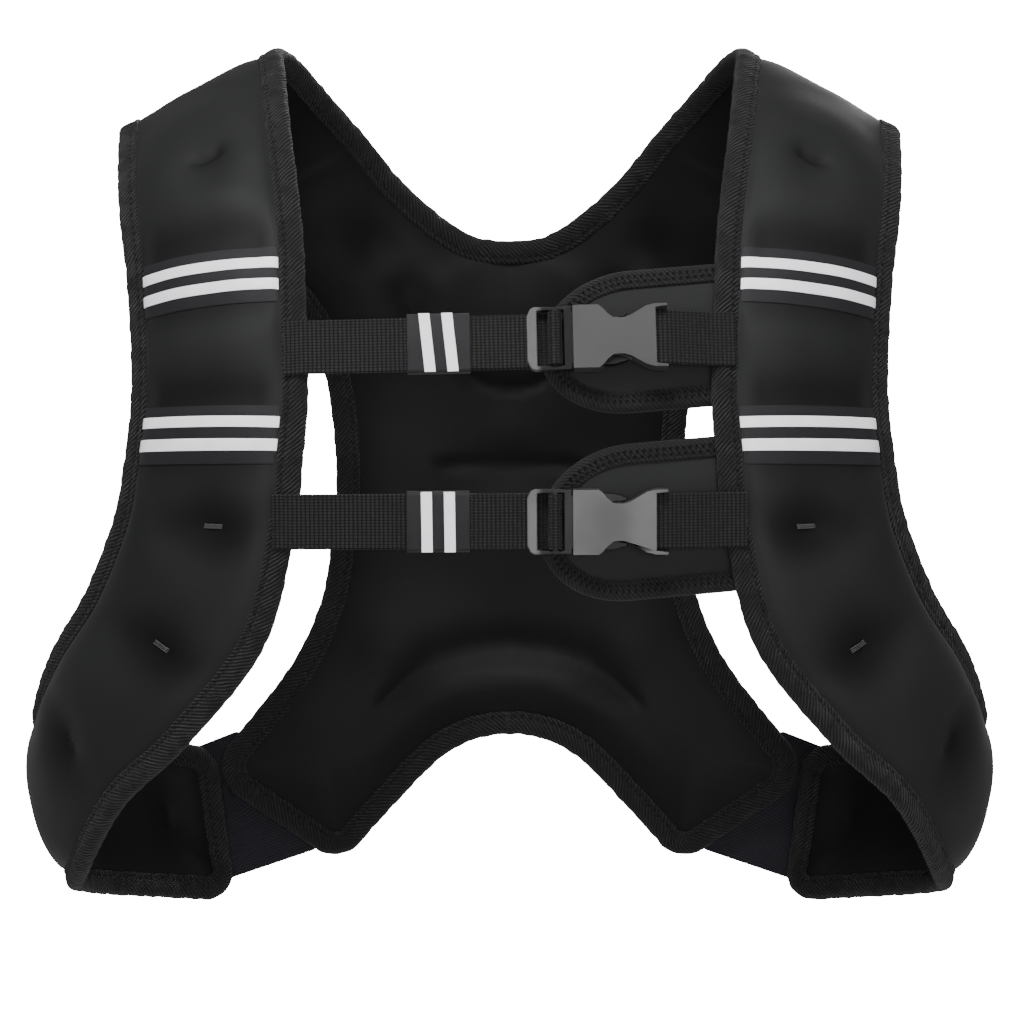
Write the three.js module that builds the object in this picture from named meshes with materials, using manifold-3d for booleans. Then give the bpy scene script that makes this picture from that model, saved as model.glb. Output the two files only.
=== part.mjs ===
// A padded fitness vest, filled with fine weight and shown as worn. Millimetres, +Z up, the front faces -Y.
// The origin lies midway between the shoulders, at the height of the shoulder pads' underside.
// "Right" and "left" are the wearer's, so the right half has negative X.
import * as THREE from "three";
import { mergeVertices } from "three/addons/utils/BufferGeometryUtils.js";
import Module from "manifold-3d";

const wasm = await Module();
wasm.setup();

// The torso that the vest is shaped to. The table of sections holds shares of these three.
const TORSO_HALF_WIDTH = 200;
const TORSO_HALF_DEPTH = 100;
const TORSO_HEIGHT = 400;

// The padded shell
const EDGE_THICKNESS = 4;
const PAD_RISE_OUTSIDE = 8.5;
const PAD_RISE_INSIDE = 6;
const PAD_RAMP = 30;
const START_CORNERS = { in: 13, out: 19 };
const END_CORNERS = { in: 15, out: 12 };

// Tapes and webbing. The clearance is kept between all pieces that lie on each other.
const CLEARANCE = 0.35;
const BINDING_WIDTH = 9.5;
const BINDING_THICKNESS = 1.2;
const TAPE_THICKNESS = 0.7;
const STRIPE_THICKNESS = 0.3;
const STRIPE_START = 0.195;
const STRIPE_END = 0.39;
const WEBBING_WIDTH = 25;
const WEBBING_THICKNESS = 1.4;
const TAB_LENGTH = 9;
const TAB_DIP = 1.6;
const ELASTIC_THICKNESS = 1.6;
const ELASTIC_LAP = 6.5;

// Keepers, the loops that hold the straps' tails
const KEEPER_CENTRE = -32;
const KEEPER_LENGTH = 28;
const KEEPER_WALL = 0.9;
const KEEPER_STRIPE_WIDTH = 5;
const KEEPER_STRIPE_GAP = 5.3;
const TAIL_REACH = 12;

// Side release buckles. Places along the strap are counted from the middle line.
const BUCKLE_START = 7.8;
const BUCKLE_HEIGHT = 29.2;
const FRAME_BAR = 4.5;
const FRAME_SLOT = 6.6;
const CENTRE_BAR = 2.9;
const REAR_SLOT = 2.4;
const FRAME_SHOULDER = 4.2;
const MALE_THICKNESS = 4.2;
const FEMALE_LENGTH = 42.5;
const FEMALE_THICKNESS = 8.6;
const SOCKET_LENGTH = 26.5;
const SOCKET_WALL = 1.4;
const FEMALE_WAIST = 8.3;
const FEMALE_REAR_FLAT = 5.5;
const TONGUE_HEIGHT = 6;
const ARM_HEIGHT = 3.6;
const WEBBING_SEAT = 4.4;

// Flaps behind the buckles
const FLAP_THICKNESS = 3;
const FLAP_TIP = 15.5;
const FLAP_ROUNDING = 40;
const FLAP_BINDING_WIDTH = 8;
const FLAP_BINDING_THICKNESS = 1;
const FLAP_SLOPE = 0.1;

// The two chest straps. "row" is the section of the shell that each one meets, "tilt" its slope in degrees.
// "flapTop" and "flapBottom" are the heights of its flap over and under the strap's middle.
const STRAPS = [
  { name: "upper", row: 20.88, tilt: 1.3, flapTop: 35, flapBottom: -29 },
  { name: "lower", row: 24, tilt: 0.3, flapTop: 33, flapBottom: -36 },
];

// Sections of one half of the shell, from the back panel's lower edge over the shoulder and round the waist
// to the end of the side wing. "in" is the edge nearer the middle line, "out" the armhole edge. Lengths are
// shares: x of the torso's half width, y and crown of its half depth, z of its height.
const SECTION_COLUMNS = ["inX", "inY", "inZ", "outX", "outY", "outZ", "crown"];
const SECTION_ROWS = [
  [0.4135, 0.92, -0.901, 0.73, 0.8, -0.792, 0.02], // 0, lower edge of the back panel
  [0.3, 0.945, -0.8365, 0.635, 0.86, -0.735, 0.025],
  [0.15, 0.965, -0.764, 0.52, 0.905, -0.659, 0.03],
  [0, 0.97, -0.7425, 0.4525, 0.93, -0.584, 0.01], // 3, top of the arch
  [0, 1.005, -0.6375, 0.4285, 0.95, -0.515, 0.014],
  [0, 1.04, -0.525, 0.416, 0.96, -0.4475, 0.02],
  [0, 1.06, -0.4125, 0.419, 0.955, -0.3925, 0.026],
  [0, 1.045, -0.2875, 0.434, 0.935, -0.3275, 0.028],
  [0, 0.97, -0.1475, 0.4575, 0.905, -0.28, 0.016], // 8, bottom of the neckline
  [0.089, 0.958, -0.142, 0.4975, 0.87, -0.2375, 0.022],
  [0.175, 0.92, -0.116, 0.565, 0.81, -0.199, 0.03],
  [0.2715, 0.855, -0.073, 0.655, 0.715, -0.16, 0.035],
  [0.355, 0.76, -0.0225, 0.745, 0.6, -0.1225, 0.035],
  [0.437, 0.59, 0.0225, 0.83, 0.42, -0.0825, 0.03],
  [0.504, 0.33, 0.0585, 0.885, 0.22, -0.05, 0.02],
  [0.54, 0.06, 0.065, 0.905, 0.03, -0.031, 0.01], // 15, crest of the shoulder
  [0.5325, -0.18, 0.039, 0.9065, -0.14, -0.047, 0.015],
  [0.5125, -0.54, -0.0325, 0.898, -0.41, -0.1025, 0.03],
  [0.49, -0.77, -0.1075, 0.8855, -0.56, -0.1525, 0.045],
  [0.475, -0.91, -0.17, 0.871, -0.645, -0.1965, 0.055], // 19, upper reflective tape
  [0.4685, -1.01, -0.2315, 0.86, -0.7, -0.254, 0.06],
  [0.463, -1.08, -0.295, 0.854, -0.735, -0.309, 0.06],
  [0.4615, -1.12, -0.354, 0.855, -0.755, -0.356, 0.06], // 22, lower reflective tape
  [0.4725, -1.135, -0.4175, 0.87, -0.755, -0.419, 0.06],
  [0.4875, -1.125, -0.484, 0.896, -0.71, -0.484, 0.06],
  [0.5575, -1.06, -0.6225, 0.966, -0.555, -0.5675, 0.06],
  [0.735, -0.92, -0.736, 1.05, -0.33, -0.635, 0.06],
  [0.89, -0.7, -0.81, 1.0985, -0.04, -0.6925, 0.06],
  [0.9975, -0.25, -0.9, 1.1065, 0.325, -0.722, 0.05],
  [1.005, 0.25, -0.9225, 1.0075, 0.645, -0.74, 0.04],
  [0.825, 0.66, -0.9365, 0.8425, 0.835, -0.7575, 0.03],
  [0.6725, 0.84, -0.944, 0.72, 0.9, -0.764, 0.02], // 31, end of the side wing
];
const SECTIONS = SECTION_ROWS.map((row) =>
  Object.fromEntries(SECTION_COLUMNS.map((column, k) => [column, row[k]])),
);
const ARCH_ROW = 3;
const NECK_ROW = 8;
const LAST_ROW = SECTIONS.length - 1;
const TAPE_ROWS = { upper: 19, lower: 22 };

// Thread tacks pull the pads in. "row" and "across" place each one on the shell.
const TACKS = [
  { row: 17.15, across: 0.46, radius: 15, depth: 0.5 },
  { row: 24.05, across: 0.4, radius: 19, depth: 0.62 },
  { row: 25.3, across: 0.43, radius: 19, depth: 0.64 },
  { row: 26.8, across: 0.5, radius: 17, depth: 0.62 },
  { row: 30, across: 0.52, radius: 16, depth: 0.5 },
];
const TAPE_PINCH = { radius: 17, depth: 0.4 };
const CREST_ROW = 15;
const CREST_DIP = { radius: 40, depth: 0.75 };

// Quilting seams of the back panel, as shares of the torso's half width and of its height
const BACK_SEAMS = [
  {
    radius: 8,
    depth: 0.6,
    points: [
      [0, -0.4175],
      [0.205, -0.4175],
    ],
  },
  {
    radius: 9,
    depth: 0.75,
    points: [
      [0, -0.6375],
      [0.1, -0.6425],
      [0.2, -0.6585],
      [0.2725, -0.68],
      [0.336, -0.7085],
    ],
  },
  {
    radius: 10,
    depth: 0.45,
    points: [
      [0, -0.3235],
      [0.077, -0.311],
      [0.175, -0.271],
      [0.2725, -0.2035],
      [0.3265, -0.15],
    ],
  },
];

// Columns of the shell's mesh: both bound edges, both lines where the binding ends, and what is between
const INNER_COLUMNS = 6;
const RING_IN = 1;
const RING_OUT = RING_IN + INNER_COLUMNS;
const EDGE_OUT = RING_OUT + 1;

const colours = {
  neoprene: { color: 0x191b1a, roughness: 0.75, metalness: 0 },
  binding: { color: 0x232524, roughness: 0.85, metalness: 0 },
  tape: { color: 0x2b2a2c, roughness: 0.7, metalness: 0 },
  reflective: { color: 0xe6e6ea, roughness: 0.35, metalness: 0.2 },
  webbing: { color: 0x2a2c2b, roughness: 0.8, metalness: 0 },
  plastic: { color: 0x5f6060, roughness: 0.4, metalness: 0 },
  elastic: { color: 0x201f26, roughness: 0.8, metalness: 0 },
};
const materials = Object.fromEntries(
  Object.entries(colours).map(([name, look]) => [name, new THREE.MeshStandardMaterial(look)]),
);

const vest = new THREE.Group();

function add(name, material, geometry) {
  const mesh = new THREE.Mesh(geometry, materials[material]);
  mesh.name = name;
  vest.add(mesh);
}

// Small helpers for vectors, which leave their arguments as they were
const along = (point, direction, length) => point.clone().addScaledVector(direction, length);
const between = (a, b, share) => a.clone().lerp(b, share);
const mirrored = (v) => new THREE.Vector3(-v.x, v.y, v.z);
const cutsOther = (a, b, c, d) => a.place.distanceTo(c.place) > b.place.distanceTo(d.place);

// A point on the smooth curve through a run of values, with the run's ends left free
function splined(values, position) {
  const cell = Math.min(Math.floor(position), values.length - 2);
  const u = position - cell;
  const b = values[cell];
  const c = values[cell + 1];
  const a = cell > 0 ? values[cell - 1] : 2 * b - c;
  const d = cell + 2 < values.length ? values[cell + 2] : 2 * c - b;
  const bend = (2 * a - 5 * b + 4 * c - d) * u + (3 * b - a - 3 * c + d) * u * u;
  return b + 0.5 * u * (c - a + bend);
}

// The bound edge nearer the middle turns sharply at the arch and at the neckline, so it is three curves.
const edgeRuns = {
  in: [
    [0, ARCH_ROW],
    [ARCH_ROW, NECK_ROW],
    [NECK_ROW, LAST_ROW],
  ],
  out: [[0, LAST_ROW]],
};

function edgePoint(edge, row) {
  const [start, end] = edgeRuns[edge].find(([, last]) => row <= last);
  const run = SECTIONS.slice(start, end + 1);
  const [x, y, z] = ["X", "Y", "Z"].map((axis) =>
    splined(run.map((section) => section[edge + axis]), row - start),
  );
  return new THREE.Vector3(x * TORSO_HALF_WIDTH, y * TORSO_HALF_DEPTH, z * TORSO_HEIGHT);
}

const PROBE = 0.02;

// The way the shell faces at the middle of a section
function sectionNormal(row) {
  const low = Math.max(row - PROBE, 0);
  const high = Math.min(row + PROBE, LAST_ROW);
  const middle = (r) => between(edgePoint("in", r), edgePoint("out", r), 0.5);
  const lengthwise = middle(high).sub(middle(low));
  const across = edgePoint("out", row).sub(edgePoint("in", row));
  return lengthwise.cross(across).normalize();
}

// The shell's middle surface
function middlePoint(row, across) {
  const crown = splined(SECTIONS.map((section) => section.crown), row) * TORSO_HALF_DEPTH;
  const chord = between(edgePoint("in", row), edgePoint("out", row), across);
  return along(chord, sectionNormal(row), 4 * crown * across * (1 - across));
}

const onMiddleLine = (row) => row >= ARCH_ROW && row <= NECK_ROW;

function surfaceNormal(row, across) {
  const lowRow = Math.max(row - PROBE, 0);
  const highRow = Math.min(row + PROBE, LAST_ROW);
  const lowAcross = Math.max(across - PROBE, 0);
  const highAcross = Math.min(across + PROBE, 1);
  const lengthwise = middlePoint(highRow, across).sub(middlePoint(lowRow, across));
  const sideways = middlePoint(row, highAcross).sub(middlePoint(row, lowAcross));
  const normal = lengthwise.cross(sideways);
  if (across === 0 && onMiddleLine(row)) normal.x = 0;
  return normal.normalize();
}

// From a point on an edge that runs along a direction, one binding's width into the shell
function ringPoint(edge, normal, tangent, inwards) {
  const direction = tangent.clone().cross(normal).normalize();
  if (direction.dot(inwards) < 0) direction.negate();
  return along(edge, direction, BINDING_WIDTH);
}

// The rows of the shell's mesh, two to a section. Each end has its edge and the line where its binding ends.
const meshRows = [];
for (let step = 1; step < 2 * LAST_ROW; step++) {
  const nearEnd = step === 1 ? 0.1 : step === 2 * LAST_ROW - 1 ? -0.1 : 0;
  meshRows.push(step / 2 + nearEnd);
}

function edgeTangent(edge, row) {
  const [start, end] = edgeRuns[edge].find(([, last]) => row <= last);
  const low = Math.max(row - PROBE, start);
  const high = Math.min(row + PROBE, end);
  return edgePoint(edge, high).sub(edgePoint(edge, low)).normalize();
}

function ringOf(edge, row, share) {
  const point = edgePoint(edge, row);
  const normal = surfaceNormal(row, share);
  const inwards = edgePoint(edge === "in" ? "out" : "in", row).sub(point);
  if (edge === "in" && (row === NECK_ROW || row === ARCH_ROW)) {
    const intoPanel = new THREE.Vector3(0, 0, row === NECK_ROW ? -1 : 1);
    return ringPoint(point, normal, new THREE.Vector3(1, 0, 0), intoPanel);
  }
  return ringPoint(point, normal, edgeTangent(edge, row), inwards);
}

// One row of mesh points from edge to edge. On the middle line the first two points are one.
function plainRow(row) {
  const start = edgePoint("in", row);
  const end = edgePoint("out", row);
  const width = start.distanceTo(end);
  const centred = row > ARCH_ROW && row < NECK_ROW;
  const firstShare = onMiddleLine(row) ? 0 : BINDING_WIDTH / width;
  const lastShare = 1 - BINDING_WIDTH / width;
  const ringIn = centred ? start.clone() : ringOf("in", row, 0);
  const ringOut = ringOf("out", row, 1);
  const shiftIn = ringIn.clone().sub(middlePoint(row, firstShare));
  const shiftOut = ringOut.clone().sub(middlePoint(row, lastShare));
  const points = [{ place: start, normal: surfaceNormal(row, 0), row, across: 0, flat: !centred }];
  for (let column = 0; column <= INNER_COLUMNS; column++) {
    const share = column / INNER_COLUMNS;
    const across = THREE.MathUtils.lerp(firstShare, lastShare, share);
    const place = middlePoint(row, across);
    place.addScaledVector(shiftIn, 1 - share).addScaledVector(shiftOut, share);
    const onRing = column === INNER_COLUMNS || (column === 0 && !centred);
    points.push({ place, normal: surfaceNormal(row, across), row, across, flat: onRing });
  }
  points.push({ place: end, normal: surfaceNormal(row, 1), row, across: 1, flat: true });
  return points;
}

// How far the middle of a quarter arc lies from the sharp corner, each way, as a share of its radius
const ARC_SHARE = 1 - Math.SQRT1_2;
const CORNER_SHARE = 0.6;
const END_PROBE = 0.3;

// The edge row and the ring row at one end of the shell, with both corners rounded
function endRows(row, intoShell, corners) {
  const insideRow = row + intoShell * END_PROBE;
  const width = edgePoint("in", row).distanceTo(edgePoint("out", row));
  const rowTangent = edgePoint("out", row).sub(edgePoint("in", row)).normalize();
  const sides = { in: edgeTangent("in", row), out: edgeTangent("out", row) };
  const edge = [];
  const ring = [];
  for (let column = 0; column <= EDGE_OUT; column++) {
    const share = Math.min(Math.max((column - RING_IN) / INNER_COLUMNS, 0), 1);
    const across = THREE.MathUtils.lerp(corners.in, width - corners.out, share) / width;
    const normal = surfaceNormal(row, across);
    const place = middlePoint(row, across);
    const inwards = middlePoint(insideRow, across).sub(place);
    edge.push({ place, normal, row, across, flat: true });
    ring.push({ place: ringPoint(place, normal, rowTangent, inwards), normal, row, across, flat: true });
  }
  for (const [side, corner, next, turn] of [
    ["in", 0, RING_IN, 1],
    ["out", EDGE_OUT, RING_OUT, -1],
  ]) {
    const sharp = edgePoint(side, row);
    const cut = corners[side];
    const alongSide = sides[side].multiplyScalar(intoShell);
    const alongEnd = rowTangent.clone().multiplyScalar(turn);
    const diagonal = alongSide.clone().add(alongEnd);
    const normal = surfaceNormal(row, side === "in" ? 0 : 1);
    const across = side === "in" ? 0 : 1;
    edge[corner] = { place: along(sharp, diagonal, cut * ARC_SHARE), normal, row, across, flat: true };
    edge[next] = { place: along(sharp, alongEnd, cut), normal, row, across, flat: true };
    ring[corner] = { place: along(sharp, alongSide, cut), normal, row, across, flat: true };
    const innerCorner = along(sharp, diagonal, cut * ARC_SHARE + BINDING_WIDTH * CORNER_SHARE);
    ring[next] = { place: innerCorner, normal, row, across, flat: true };
  }
  return [edge, ring];
}

const grid = [
  ...endRows(0, 1, START_CORNERS),
  ...meshRows.map(plainRow),
  ...endRows(LAST_ROW, -1, END_CORNERS).reverse(),
];
const lastGridRow = grid.length - 1;
const gridRowOf = (row) => grid.findIndex((points) => points[RING_IN + 1].row === row);
const archGridRow = gridRowOf(ARCH_ROW);
const neckGridRow = gridRowOf(NECK_ROW);

// The bound edge of the half shell, from the arch's top to the neckline's bottom. Each station names a point
// on the edge and the point where the binding over it ends.
function edgeStations() {
  const stations = [];
  const put = (edgeRow, edgeColumn, ringRow, ringColumn) =>
    stations.push({ edge: grid[edgeRow][edgeColumn], ring: grid[ringRow][ringColumn] });
  for (let i = archGridRow; i >= 1; i--) put(i, 0, i, RING_IN);
  put(0, 0, 1, RING_IN);
  for (let j = RING_IN; j <= RING_OUT; j++) put(0, j, 1, j);
  put(0, EDGE_OUT, 1, RING_OUT);
  for (let i = 1; i < lastGridRow; i++) put(i, EDGE_OUT, i, RING_OUT);
  put(lastGridRow, EDGE_OUT, lastGridRow - 1, RING_OUT);
  for (let j = RING_OUT; j >= RING_IN; j--) put(lastGridRow, j, lastGridRow - 1, j);
  put(lastGridRow, 0, lastGridRow - 1, RING_IN);
  for (let i = lastGridRow - 1; i >= neckGridRow; i--) put(i, 0, i, RING_IN);
  return stations;
}
const stations = edgeStations();

function distanceToSegments(point, ends) {
  let nearest = Infinity;
  const closest = new THREE.Vector3();
  for (let k = 1; k < ends.length; k++) {
    new THREE.Line3(ends[k - 1], ends[k]).closestPointToPoint(point, true, closest);
    nearest = Math.min(nearest, closest.distanceTo(point));
  }
  return nearest;
}

const edgeLine = stations.map((station) => station.edge.place);
const tackPlaces = TACKS.map((tack) => ({ ...tack, place: middlePoint(tack.row, tack.across) }));
const tapeLines = Object.values(TAPE_ROWS).map((row) =>
  [0.1, 0.5, 0.9].map((across) => middlePoint(row + 0.5, across)),
);
const crestLine = [0, 1].map((across) => middlePoint(CREST_ROW, across));
const seamLines = BACK_SEAMS.map((seam) => ({
  ...seam,
  ends: seam.points.map(([x, z]) => new THREE.Vector3(x * TORSO_HALF_WIDTH, 0, z * TORSO_HEIGHT)),
}));

const dip = (distance, { radius, depth }) => 1 - depth * Math.exp(-((distance / radius) ** 2));

// How far the filling lifts the cloth, from 0 at the binding to 1 in the open
function fullness({ place, row, flat }) {
  if (flat) return 0;
  const ramp = Math.min(Math.max((distanceToSegments(place, edgeLine) - BINDING_WIDTH) / PAD_RAMP, 0), 1);
  let full = Math.sqrt(1 - (1 - ramp) ** 2);
  for (const tack of tackPlaces) full *= dip(tack.place.distanceTo(place), tack);
  full *= dip(distanceToSegments(place, crestLine), CREST_DIP);
  for (const line of tapeLines) full *= dip(distanceToSegments(place, line), TAPE_PINCH);
  if (row < NECK_ROW + 4) {
    const flatPlace = new THREE.Vector3(place.x, 0, place.z);
    for (const seam of seamLines) full *= dip(distanceToSegments(flatPlace, seam.ends), seam);
  }
  return full;
}
for (const points of grid) for (const point of points) point.full = fullness(point);

const outsideOf = (point, lift = 0) =>
  along(point.place, point.normal, EDGE_THICKNESS / 2 + PAD_RISE_OUTSIDE * point.full + lift);
const insideOf = (point, lift = 0) =>
  along(point.place, point.normal, -EDGE_THICKNESS / 2 - PAD_RISE_INSIDE * point.full - lift);

// A mesh gathered corner by corner. Corners in one place are one vertex, and faces without area are dropped.
class Surface {
  constructor() {
    this.places = new Map();
    this.positions = [];
    this.faces = [];
  }
  vertex({ x, y, z }) {
    const key = [x, y, z].map((value) => Math.round(value * 1e4) || 0).join();
    if (!this.places.has(key)) {
      this.places.set(key, this.positions.length / 3);
      this.positions.push(x, y, z);
    }
    return this.places.get(key);
  }
  triangle(a, b, c) {
    const [i, j, k] = [a, b, c].map((corner) => this.vertex(corner));
    if (i !== j && j !== k && k !== i) this.faces.push([i, j, k]);
  }
  // Cut along a-c, or along b-d where "other" is true
  quad(a, b, c, d, other = false) {
    this.triangle(a, b, other ? d : c);
    this.triangle(other ? b : a, c, d);
  }
  // The edges that belong to one face alone, each in its face's own direction
  openEdges() {
    const edges = new Set();
    for (const [i, j, k] of this.faces) {
      for (const [u, v] of [[i, j], [j, k], [k, i]]) edges.add(u + "," + v);
    }
    return [...edges]
      .map((edge) => edge.split(",").map(Number))
      .filter(([u, v]) => !edges.has(v + "," + u));
  }
  geometry() {
    const made = new THREE.BufferGeometry();
    made.setAttribute("position", new THREE.Float32BufferAttribute(this.positions, 3));
    made.setIndex(this.faces.flat());
    return made;
  }
}

// A closed sheet between two faces. Each cell is four points. "top" and "bottom" place a point's corners.
function sheetGeometry(cells, top, bottom) {
  const upper = new Surface();
  const below = new Map();
  const put = (point) => {
    const place = top(point);
    below.set(upper.vertex(place), bottom(point));
    return place;
  };
  for (const cell of cells) upper.quad(...cell.map(put), cutsOther(...cell));
  const closed = new Surface();
  const above = (i) => new THREE.Vector3().fromArray(upper.positions, 3 * i);
  for (const [i, j, k] of upper.faces) {
    closed.triangle(above(i), above(j), above(k));
    closed.triangle(below.get(k), below.get(j), below.get(i));
  }
  for (const [u, v] of upper.openEdges()) {
    closed.quad(above(v), above(u), below.get(u), below.get(v));
  }
  return closed.geometry();
}

const onSide = (point, side) =>
  side > 0 ? point : { ...point, place: mirrored(point.place), normal: mirrored(point.normal) };

// The cells of a grid of points, given as rows, on one side of the middle line
function cellsOf(rows, side, firstColumn = () => 0) {
  const cells = [];
  for (let i = 0; i < rows.length - 1; i++) {
    for (let j = firstColumn(i); j < rows[i].length - 1; j++) {
      const cell = [rows[i][j], rows[i + 1][j], rows[i + 1][j + 1], rows[i][j + 1]];
      if (side < 0) cell.reverse();
      cells.push(cell.map((point) => onSide(point, side)));
    }
  }
  return cells;
}

// The shell: both halves, joined on the middle line between the arch and the neckline
const shellColumn = (i) => (i >= archGridRow && i < neckGridRow ? RING_IN : 0);
const shellCells = [1, -1].flatMap((side) => cellsOf(grid, side, shellColumn));
add("vest_body", "neoprene", sheetGeometry(shellCells, outsideOf, insideOf));

// The section of a tape folded over a sheet's edge, as eight corners of a U
function foldedSection({ edge, ring }, sheetThickness, tapeThickness) {
  const outwards = edge.place.clone().sub(ring.place).normalize();
  const near = sheetThickness / 2 + CLEARANCE;
  const far = near + tapeThickness;
  const noseInner = along(edge.place, outwards, CLEARANCE);
  const noseOuter = along(edge.place, outwards, CLEARANCE + tapeThickness);
  const corners = [
    along(ring.place, ring.normal, near),
    along(noseInner, edge.normal, near),
    along(noseInner, edge.normal, -near),
    along(ring.place, ring.normal, -near),
    along(ring.place, ring.normal, -far),
    along(noseOuter, edge.normal, -near),
    along(noseOuter, edge.normal, near),
    along(ring.place, ring.normal, far),
  ];
  return { edge, ring, corners };
}
const RING_CORNERS = [0, 3, 4, 7];
const mirroredSection = ({ edge, ring, corners }) => ({ edge, ring, corners: corners.map(mirrored) });

// A folded tape through sections, either one closed loop or with both ends closed
function foldedTape(sections, isLoop) {
  const surface = new Surface();
  const last = isLoop ? sections.length : sections.length - 1;
  for (let k = 0; k < last; k++) {
    const section = sections[k];
    const next = sections[(k + 1) % sections.length];
    section.corners.forEach((corner, m) => {
      const n = (m + 1) % section.corners.length;
      const cell = [[section, n], [next, n], [next, m], [section, m]];
      const lines = cell.map(([at, c]) => (RING_CORNERS.includes(c) ? at.ring : at.edge));
      surface.quad(...cell.map(([at, c]) => at.corners[c]), cutsOther(...lines));
    });
  }
  if (!isLoop) {
    const first = sections[0].corners;
    const end = sections[last].corners;
    for (const [a, b] of [[0, 7], [1, 6], [2, 5]]) {
      surface.quad(first[b], first[b - 1], first[a + 1], first[a]);
      surface.quad(end[a], end[a + 1], end[b - 1], end[b]);
    }
  }
  return surface.geometry();
}

// The binding all round the shell's edge
const leftSections = stations.map((station) =>
  foldedSection(station, EDGE_THICKNESS, BINDING_THICKNESS),
);
const rightSections = leftSections.slice(1, -1).reverse().map(mirroredSection);
add("edge_binding", "binding", foldedTape([...leftSections, ...rightSections], true));

// Reflective tapes across the front pads, each with two stripes. They end short of the binding.
const TAPE_INSET = 0.6;

function tapeRows(firstRow) {
  return [0, 0.5, 1].map((step) => {
    const points = grid[gridRowOf(firstRow + step)].slice(RING_IN, RING_OUT + 1);
    const inset = (end, next) => {
      const inwards = next.place.clone().sub(end.place).normalize();
      return { ...end, place: along(end.place, inwards, TAPE_INSET) };
    };
    const last = points.length - 1;
    const middle = points.slice(1, last);
    return [inset(points[0], points[1]), ...middle, inset(points[last], points[last - 1])];
  });
}

// The points of a stripe on a tape, between two heights that are shares of the tape's width
function stripeRows(rows, shares) {
  const lift = CLEARANCE + TAPE_THICKNESS;
  return shares.map((share) => {
    const [a, b] = share <= 0.5 ? [rows[0], rows[1]] : [rows[1], rows[2]];
    const part = share <= 0.5 ? 2 * share : 2 * share - 1;
    return a.map((point, k) => ({
      place: between(outsideOf(point, lift), outsideOf(b[k], lift), part),
      normal: between(point.normal, b[k].normal, part).normalize(),
    }));
  });
}

const lifted = (low) => (point) => along(point.place, point.normal, low);
const sideNames = [
  { side: 1, label: "left" },
  { side: -1, label: "right" },
];
for (const [level, firstRow] of Object.entries(TAPE_ROWS)) {
  const rows = tapeRows(firstRow);
  const stripes = [
    stripeRows(rows, [STRIPE_START, STRIPE_END]),
    stripeRows(rows, [1 - STRIPE_END, 1 - STRIPE_START]),
  ];
  for (const { side, label } of sideNames) {
    const top = (point) => outsideOf(point, CLEARANCE + TAPE_THICKNESS);
    const bottom = (point) => outsideOf(point, CLEARANCE);
    add(`tape_${level}_${label}`, "tape", sheetGeometry(cellsOf(rows, side), top, bottom));
    stripes.forEach((stripe, k) => {
      const face = lifted(CLEARANCE + STRIPE_THICKNESS);
      const made = sheetGeometry(cellsOf(stripe, side), face, lifted(CLEARANCE));
      add(`tape_stripe_${level}_${label}_${k + 1}`, "reflective", made);
    });
  }
}

// Joining and cutting closed meshes
function solidOf(geometry) {
  const bare = geometry.clone();
  bare.deleteAttribute("normal");
  bare.deleteAttribute("uv");
  const merged = mergeVertices(bare, 1e-3);
  return new wasm.Manifold(
    new wasm.Mesh({
      numProp: 3,
      vertProperties: merged.attributes.position.array,
      triVerts: new Uint32Array(merged.index.array),
    }),
  );
}
function geometryOf(solid) {
  const mesh = solid.getMesh();
  const made = new THREE.BufferGeometry();
  made.setAttribute("position", new THREE.BufferAttribute(mesh.vertProperties, 3));
  made.setIndex(new THREE.BufferAttribute(mesh.triVerts, 1));
  return made;
}

// A plate of an outline in X and Z, from "back" to "front" away from the body. Outwards is -Y.
function plate(shape, back, front) {
  const made = new THREE.ExtrudeGeometry(shape, { depth: front - back, bevelEnabled: false });
  return made.rotateX(Math.PI / 2).translate(0, -back, 0);
}
function block(startX, endX, halfHeight, back, front) {
  const made = new THREE.BoxGeometry(endX - startX, front - back, 2 * halfHeight);
  return made.translate((startX + endX) / 2, -(back + front) / 2, 0);
}
const outline = (points) => new THREE.Shape(points.map(([x, z]) => new THREE.Vector2(x, z)));
const mirroredHalf = (points) => [...points, ...points.map(([x, z]) => [x, -z]).reverse()];

// A path's points moved sideways by a distance, with mitred corners
function sidestep(points, distance) {
  return points.map((point, k) => {
    const before = points[Math.max(k - 1, 0)];
    const after = points[Math.min(k + 1, points.length - 1)];
    const turnIn = k > 0 ? point.clone().sub(before).normalize() : after.clone().sub(point).normalize();
    const turnOut = k < points.length - 1 ? after.clone().sub(point).normalize() : turnIn;
    const middle = turnIn.clone().add(turnOut).normalize();
    const stretch = 1 / Math.max(middle.dot(turnIn), 0.2);
    const step = distance * stretch;
    return new THREE.Vector2(point.x - middle.y * step, point.y + middle.x * step);
  });
}

// Webbing along a path of places along X and heights off the body, standing on its edge
function webbing(path) {
  const line = path.map(([x, lift]) => new THREE.Vector2(x, -lift));
  const half = WEBBING_THICKNESS / 2;
  const shape = new THREE.Shape([...sidestep(line, half), ...sidestep(line, -half).reverse()]);
  const made = new THREE.ExtrudeGeometry(shape, { depth: WEBBING_WIDTH, bevelEnabled: false });
  return made.translate(0, 0, -WEBBING_WIDTH / 2);
}

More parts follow.
